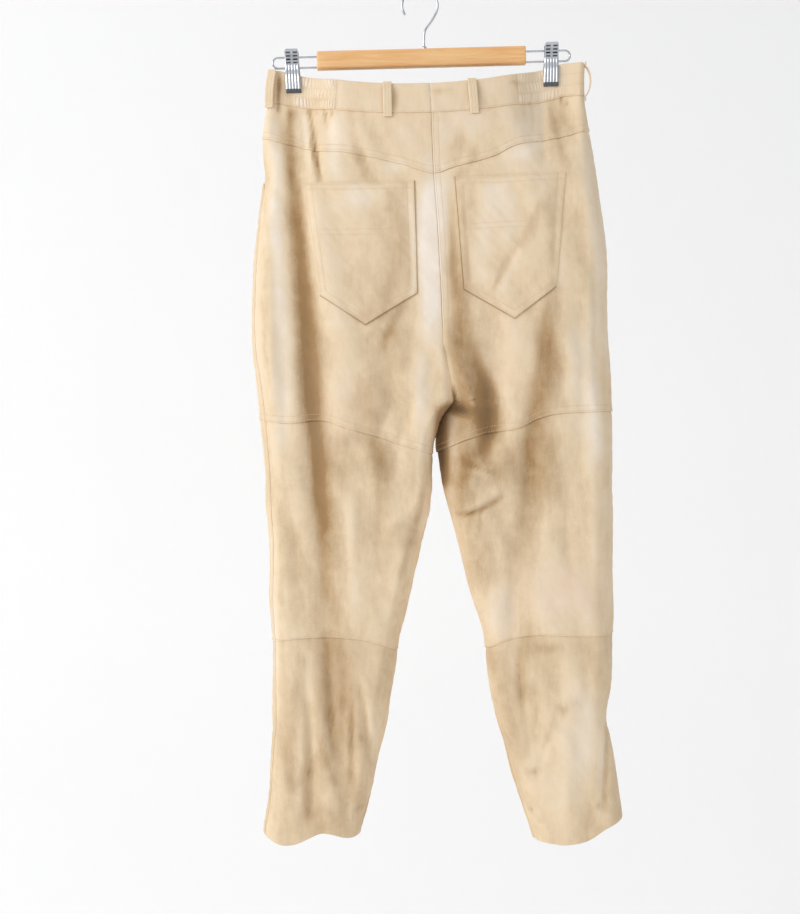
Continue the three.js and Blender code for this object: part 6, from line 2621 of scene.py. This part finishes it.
@dataclass
class Hanger:
    """The wooden bar, its hook and the two wire rails."""

    length: float = 265.0
    tall: float = 23.6
    deep: float = 12.0
    corner: float = 3.5
    top: float = -76.4
    rail_radius: float = 1.7
    rail_upper: float = -83.0
    rail_lower: float = -96.5
    rail_reach: float = 190.5
    hook_radius: float = 1.5
    hook_bend: float = 22.5
    hook_stem: float = 4.0

    def build_bar(self) -> None:
        """Builds the bar with softened edges and ends."""
        steps = 7
        section = []
        for quarter in range(4):
            sy = 1 if quarter in (0, 3) else -1
            sz = 1 if quarter in (0, 1) else -1
            for k in range(steps):
                angle = math.pi / 2 * (quarter + k / (steps - 1))
                y = sy * (self.deep / 2 - self.corner) + self.corner * math.cos(angle)
                z = sz * (self.tall / 2 - self.corner) + self.corner * math.sin(angle)
                section.append((y, z))
        outline = np.array(section)
        half = self.length / 2
        ends = [(0.0, 1.3), (0.25, 0.65), (0.7, 0.25), (1.4, 0.0)]
        stations = [(-half + a, b) for a, b in ends]
        stations += [(x, 0.0) for x in np.linspace(-half + 6, half - 6, 40)]
        stations += [(half - a, b) for a, b in ends[::-1]]
        rings = []
        for x, inset in stations:
            yz = outline * (1.0 - inset / np.array([self.deep / 2, self.tall / 2]))
            rings.append(np.column_stack([np.full(len(yz), x), yz[:, 0],
                                          yz[:, 1] + self.top - self.tall / 2]))
        faces = tube_faces(len(rings), len(outline))
        bar = mesh_object("hanger_bar_shaped", np.concatenate(rings), faces, WOOD.material(), 40)
        face_out(bar)
        dress(bar, "wood", "hanger_bar")

    def build_rail(self, side: Side) -> None:
        """Builds the wire rail at one end of the bar."""
        start = self.length / 2 + SEAM_GAP
        bend = (self.rail_upper - self.rail_lower) / 2
        turn = self.rail_reach - self.rail_radius - bend
        middle = (self.rail_upper + self.rail_lower) / 2
        angle = math.pi / 2 - np.linspace(0, math.pi, 20)
        x = np.concatenate([np.linspace(start, turn, 8)[:-1], turn + bend * np.cos(angle),
                            np.linspace(turn, start, 8)[1:]])
        z = np.concatenate([np.full(7, self.rail_upper), middle + bend * np.sin(angle),
                            np.full(7, self.rail_lower)])
        path = np.column_stack([side.hand * x, np.zeros(len(x)), z])
        name = f"hanger_rail_{side.value}"
        rail = wire(f"{name}_wire", path, self.rail_radius * 0.8, 14, CHROME.material())
        dress(rail, "chrome", name)

    def build_hook(self) -> None:
        """Builds the hook from its stem to its rounded end."""
        centre = self.hook_radius - self.hook_bend
        neck = [(0.0, SEAM_GAP), (0.0, 14.0), (2.0, 24.0), (10.0, 35.0)]
        corners = [(self.hook_stem + x, 0.0, self.top + z) for x, z in neck]
        for angle in np.linspace(-0.35, math.pi + 0.5, 13):
            corners.append((self.hook_bend * math.cos(angle), 0.0,
                            centre + self.hook_bend * math.sin(angle)))
        hook = wire("hanger_hook_wire", smooth_path(corners, 6), self.hook_radius, 16,
                    CHROME.material())
        dress(hook, "chrome", "hanger_hook")
        collar = [(self.hook_stem, 0.0, self.top + s) for s in (0.0, 1.2)]
        ferrule = wire("hook_ferrule", np.array(collar), 3.2, 24, CHROME.material())
        dress(ferrule, "chrome")

    def build(self) -> None:
        """Builds the bar, the rails and the hook."""
        self.build_bar()
        for side in Side:
            self.build_rail(side)
        self.build_hook()


@dataclass
class Clip:
    """A spring clip of two bent plates, ribbed and slotted, with a coil between."""

    side: Side
    top_width: float = 17.6
    lip_width: float = 19.0
    plate: float = 1.2
    slot_rows: int = 4
    slot_size: tuple[float, float] = (5.8, 2.0)
    slot_pitch: float = 4.2
    head: float = -73.2
    first_slot: float = -76.6
    ribs: int = 5
    ribbed: tuple[float, float] = (-91.5, -127.0)
    flare: tuple[float, float] = (-80.0, 50.0)
    lip_height: float = -124.6
    foot: float = -129.5
    slot_inner: float = 1.6
    cell: tuple[float, float] = (0.55, 1.0)
    lean: ClassVar[dict[Side, tuple[float, float]]] = {
        Side.LEFT: (0.4, -1.8),
        Side.RIGHT: (-1.8, 0.9),
    }
    jaw: tuple[tuple[float, float], ...] = (
        (3.5, -129.5), (4.6, -127.0), (5.4, -123.0), (5.5, -115.0), (5.2, -106.0),
        (2.6, -99.0), (2.25, -94.0), (2.2, -84.0), (3.4, -78.0), (5.3, -73.2),
    )

    def depth_at(self, z: Array) -> Array:
        """How deep the plate's inner face stands at each height."""
        path = smooth_path([(z_, d, 0.0) for d, z_ in self.jaw], 8)
        order = np.argsort(path[:, 0])
        return np.interp(z, path[order, 0], path[order, 1])

    def levels(self) -> tuple[Array, list[tuple[int, int]]]:
        """The plate's heights, and the first and last row of each line of slots."""
        tops = [self.first_slot - row * self.slot_pitch for row in range(self.slot_rows)]
        marks = [(top, top - self.slot_size[1]) for top in tops]
        rims = {self.head - inset for inset in (0.0, 0.4, 1.0)}
        rims |= {self.foot + inset for inset in (0.0, 0.5, 1.3)}
        edges = sorted(rims | {z for pair in marks for z in pair}, reverse=True)
        heights = stepped(edges, self.cell[1])
        return heights, [(nearest(heights, top), nearest(heights, low)) for top, low in marks]

    def build_jaw(self, face: Face) -> None:
        """Builds one plate of the clip.

        Args:
            face: The back or the front plate.
        """
        z, slot_rows = self.levels()
        half = self.top_width / 2
        inner, outer = self.slot_inner, self.slot_inner + self.slot_size[0]
        close = [-half, -half + 0.35, -half + 0.9, -outer, -inner, inner, outer,
                 half - 0.9, half - 0.35, half]
        across = stepped(close, self.cell[0])
        columns = [(nearest(across, -outer), nearest(across, -inner)),
                   (nearest(across, inner), nearest(across, outer))]
        keep = np.ones((len(z) - 1, len(across) - 1), dtype=bool)
        slot_rows = slot_rows if face is Face.BACK else []
        for top, low in slot_rows:
            for first, last in columns:
                keep[top:low, first:last] = False
        grid_x, grid_z = np.meshgrid(across, z)
        low_share = ease((self.flare[0] - grid_z) / self.flare[1])
        wide = mix(1.0, self.lip_width / self.top_width, low_share)
        edge = half - np.abs(grid_x)
        end = np.minimum(self.head - grid_z, grid_z - self.foot)
        first, last = self.ribbed
        ribbed = ease((first - grid_z) / 3.0) * ease((grid_z - last) / 3.0)
        rib = 0.42 * np.cos(2 * math.pi * self.ribs * (grid_x / self.top_width)) * ribbed
        bars = 0.3 * bell(edge, 0.6) + 0.25 * bell(end, 0.5)
        top_face = self.depth_at(grid_z) + self.plate + rib - bars
        for top, low in slot_rows:
            middle = (z[top] + z[low]) / 2
            top_face = top_face + 0.25 * bell(grid_z - middle, 1.1) * (edge > 0.9)
        teeth = 0.9 * np.abs(((grid_x / 2.1) % 1.0) - 0.5) * 2.0
        drop = teeth * bell(grid_z - self.foot, 1.2)
        out = face.out
        corner = bell(self.head - grid_z, 1.5) * np.sign(grid_x) * bell(half - np.abs(grid_x), 1.6)
        lean = np.interp(grid_z, (self.foot, self.head), self.lean[self.side])
        at_x = CLIP_AT[self.side] + grid_x * wide + lean - 1.3 * corner
        shells = [np.stack([at_x, out * depth, grid_z + drop], axis=-1)
                  for depth in (top_face, self.depth_at(grid_z))]
        name = f"clip_jaw_{face.value}_{self.side.value}"
        dress(self.plate_mesh(name, shells, keep), "chrome", name)

    def plate_mesh(self, name: str, shells: list[Array], keep: Array) -> bpy.types.Object:
        """A closed plate with openings where cells are left out.

        Args:
            name: The solid's name.
            shells: The outer and the inner grid.
            keep: True for each cell that is there.

        Returns:
            The object.
        """
        rows, columns = shells[0].shape[:2]
        at = np.arange(rows * columns).reshape(rows, columns)
        size = rows * columns
        faces: list[list[int]] = []
        around = ((-1, 0), (0, 1), (1, 0), (0, -1))
        for r in range(rows - 1):
            for c in range(columns - 1):
                if not keep[r, c]:
                    continue
                ring = [at[r, c], at[r, c + 1], at[r + 1, c + 1], at[r + 1, c]]
                faces.append([int(i) for i in ring])
                faces.append([int(i) + size for i in ring[::-1]])
                for k, (dr, dc) in enumerate(around):
                    rr, cc = r + dr, c + dc
                    inside = 0 <= rr < rows - 1 and 0 <= cc < columns - 1
                    if not inside or not keep[rr, cc]:
                        a, b = int(ring[k]), int(ring[(k + 1) % 4])
                        faces.append([b, a, a + size, b + size])
        points = np.concatenate([shell_.reshape(-1, 3) for shell_ in shells])
        made = mesh_object(f"{name}_plate", points, faces, PRESSED.material(), 35.0)
        made.data.materials.append(SHADE_STEEL.material())
        # The inner faces and the lip take the dark steel: painted shade inside the clip and under
        # its lip.
        for polygon, ring in zip(made.data.polygons, faces):
            inside = max(ring) >= size
            polygon.material_index = int(inside or polygon.center.z < self.lip_height * MM)
        drop_loose(made)
        face_out(made)
        return made

    def build_spring(self) -> None:
        """Builds the coil between the plates."""
        turns, radius, thick, axis = 9.0, 1.35, 0.5, -89.75
        length = self.lip_width - 5.0
        s = np.linspace(0, 1, 150)
        angle = 2 * math.pi * turns * s
        x = CLIP_AT[self.side] + (s - 0.5) * length
        path = np.column_stack([x, radius * np.cos(angle), axis + radius * np.sin(angle)])
        name = f"clip_spring_{self.side.value}"
        dress(wire(f"{name}_coil", path, thick, 8, CHROME.material()), "chrome", name)

    def build(self) -> None:
        """Builds both plates and the spring."""
        for face in Face:
            self.build_jaw(face)
        self.build_spring()


@dataclass
class Studio:
    """The pale sweep, the soft lights and the camera."""

    camera_at: tuple[float, float, float] = (-40.3, -1900.0, -593.6)
    tilt: float = 1.5
    field_width: float = 1016.0
    floor_height: float = -1450.0
    wall_depth: float = 1300.0
    half_width: float = 4000.0
    sensor: float = 36.0
    aim: tuple[float, float, float] = (0.0, 0.0, -0.55)

    def build_sweep(self) -> None:
        """A floor that curves up into a wall."""
        radius, steps = 500.0, 16
        profile = [(-4200.0, self.floor_height), (-1000.0, self.floor_height)]
        for k in range(steps + 1):
            angle = math.pi / 2 * k / steps
            y = self.wall_depth - radius + radius * math.sin(angle)
            profile.append((y, self.floor_height + radius * (1.0 - math.cos(angle))))
        profile.append((self.wall_depth, 3200.0))
        across = np.linspace(-self.half_width, self.half_width, 9)
        points = np.array([[[x, y, z] for x in across] for y, z in profile])
        faces = grid_faces(len(profile), len(across), 0, False)
        sweep = mesh_object("studio_sweep", points, faces.tolist(), PAPER.material())
        LOG.info("studio sweep: %d points", len(sweep.data.vertices))

    def light(self, name: str, at: tuple[float, float, float], size: float, power: float) -> None:
        """A square soft light that faces the trousers.

        Args:
            name: Its name.
            at: Where it stands.
            size: Its side.
            power: Its power in watts.
        """
        data = bpy.data.lights.new(name, "AREA")
        data.shape, data.size, data.energy = "SQUARE", size * MM, power
        lamp = bpy.data.objects.new(name, data)
        bpy.context.scene.collection.objects.link(lamp)
        lamp.location = Vector(at) * MM
        aim = Vector(self.aim) - lamp.location
        lamp.rotation_euler = aim.to_track_quat("-Z", "Y").to_euler()

    def build_camera(self) -> None:
        """A camera square to the back, tilted a little as the hanger hangs."""
        data = bpy.data.cameras.new("camera")
        data.sensor_fit, data.sensor_width = "HORIZONTAL", self.sensor
        data.lens = self.sensor * -self.camera_at[1] / self.field_width
        data.clip_end = 50.0
        camera = bpy.data.objects.new("camera", data)
        bpy.context.scene.collection.objects.link(camera)
        c, s = math.cos(math.radians(self.tilt)), math.sin(math.radians(self.tilt))
        x, y, z = (part * MM for part in self.camera_at)
        camera.matrix_world = Matrix(
            ((c, s, 0.0, x), (0.0, 0.0, -1.0, y), (-s, c, 0.0, z), (0.0, 0.0, 0.0, 1.0))
        )
        bpy.context.scene.camera = camera

    def build(self) -> None:
        """Sets up the sweep, the lights, the world and the camera."""
        self.build_sweep()
        self.light("key", (-2500.0, -1500.0, 700.0), 1500.0, 33.0)
        self.light("fill", (1700.0, -2600.0, 100.0), 2200.0, 6.0)
        self.build_room()
        bpy.context.scene.view_settings.view_transform = "Standard"
        self.build_camera()

    @staticmethod
    def build_room() -> None:
        """A room that is brighter on the left and above than on the right and below."""
        world = bpy.data.worlds.new("soft_room")
        world.use_nodes = True
        nodes = NodeTree(world.node_tree)
        shade = world.node_tree.nodes["Background"]
        at = nodes.add("ShaderNodeTexCoord").outputs["Generated"]
        way = nodes.add("ShaderNodeSeparateXYZ", Vector=at).outputs
        across = nodes.spread(way["X"], -0.7, 0.7, (0.9, 0.42))
        above = nodes.spread(way["Z"], -0.6, 0.8, (0.55, 1.15))
        shade.inputs["Color"].default_value = srgb(252, 253, 255)
        nodes.feed(shade.inputs["Strength"], nodes.sum("MULTIPLY", across, above))
        bpy.context.scene.world = world


def main() -> None:
    """Builds the trousers, the hanger and the studio."""
    logging.basicConfig(level=logging.INFO, format="%(message)s")
    Studio().build()
    halves = {side: Half(side) for side in Side}
    for side, half in halves.items():
        half.build()
        Waistband(half).build()
        Clip(side).build()
    left, right = halves[Side.LEFT], halves[Side.RIGHT]
    BackPocket(left, (-13, -250.5), (-151, -249), (-134, -391), (-79, -429), (-13, -391)).build()
    BackPocket(right, (36.5, -247), (175.5, -243.5), (159, -388), (106.5, -426), (44, -388)).build()
    for half, place, turn, sizes in (
        (left, "back", 0.118, {"lean": 2.0}), (right, "back", 0.122, {"lean": 1.0}),
        (left, "side", 0.463, {}), (right, "side", 0.498, {"stand": 7.0}),
        (left, "front", 0.81, {}), (right, "front", 0.81, {}),
    ):
        BeltLoop(half, f"belt_loop_{place}", turn, **sizes).build()
    Fly(right).build()
    WaistTab(halves).build()
    Hanger().build()


if __name__ == "__main__":
    main()
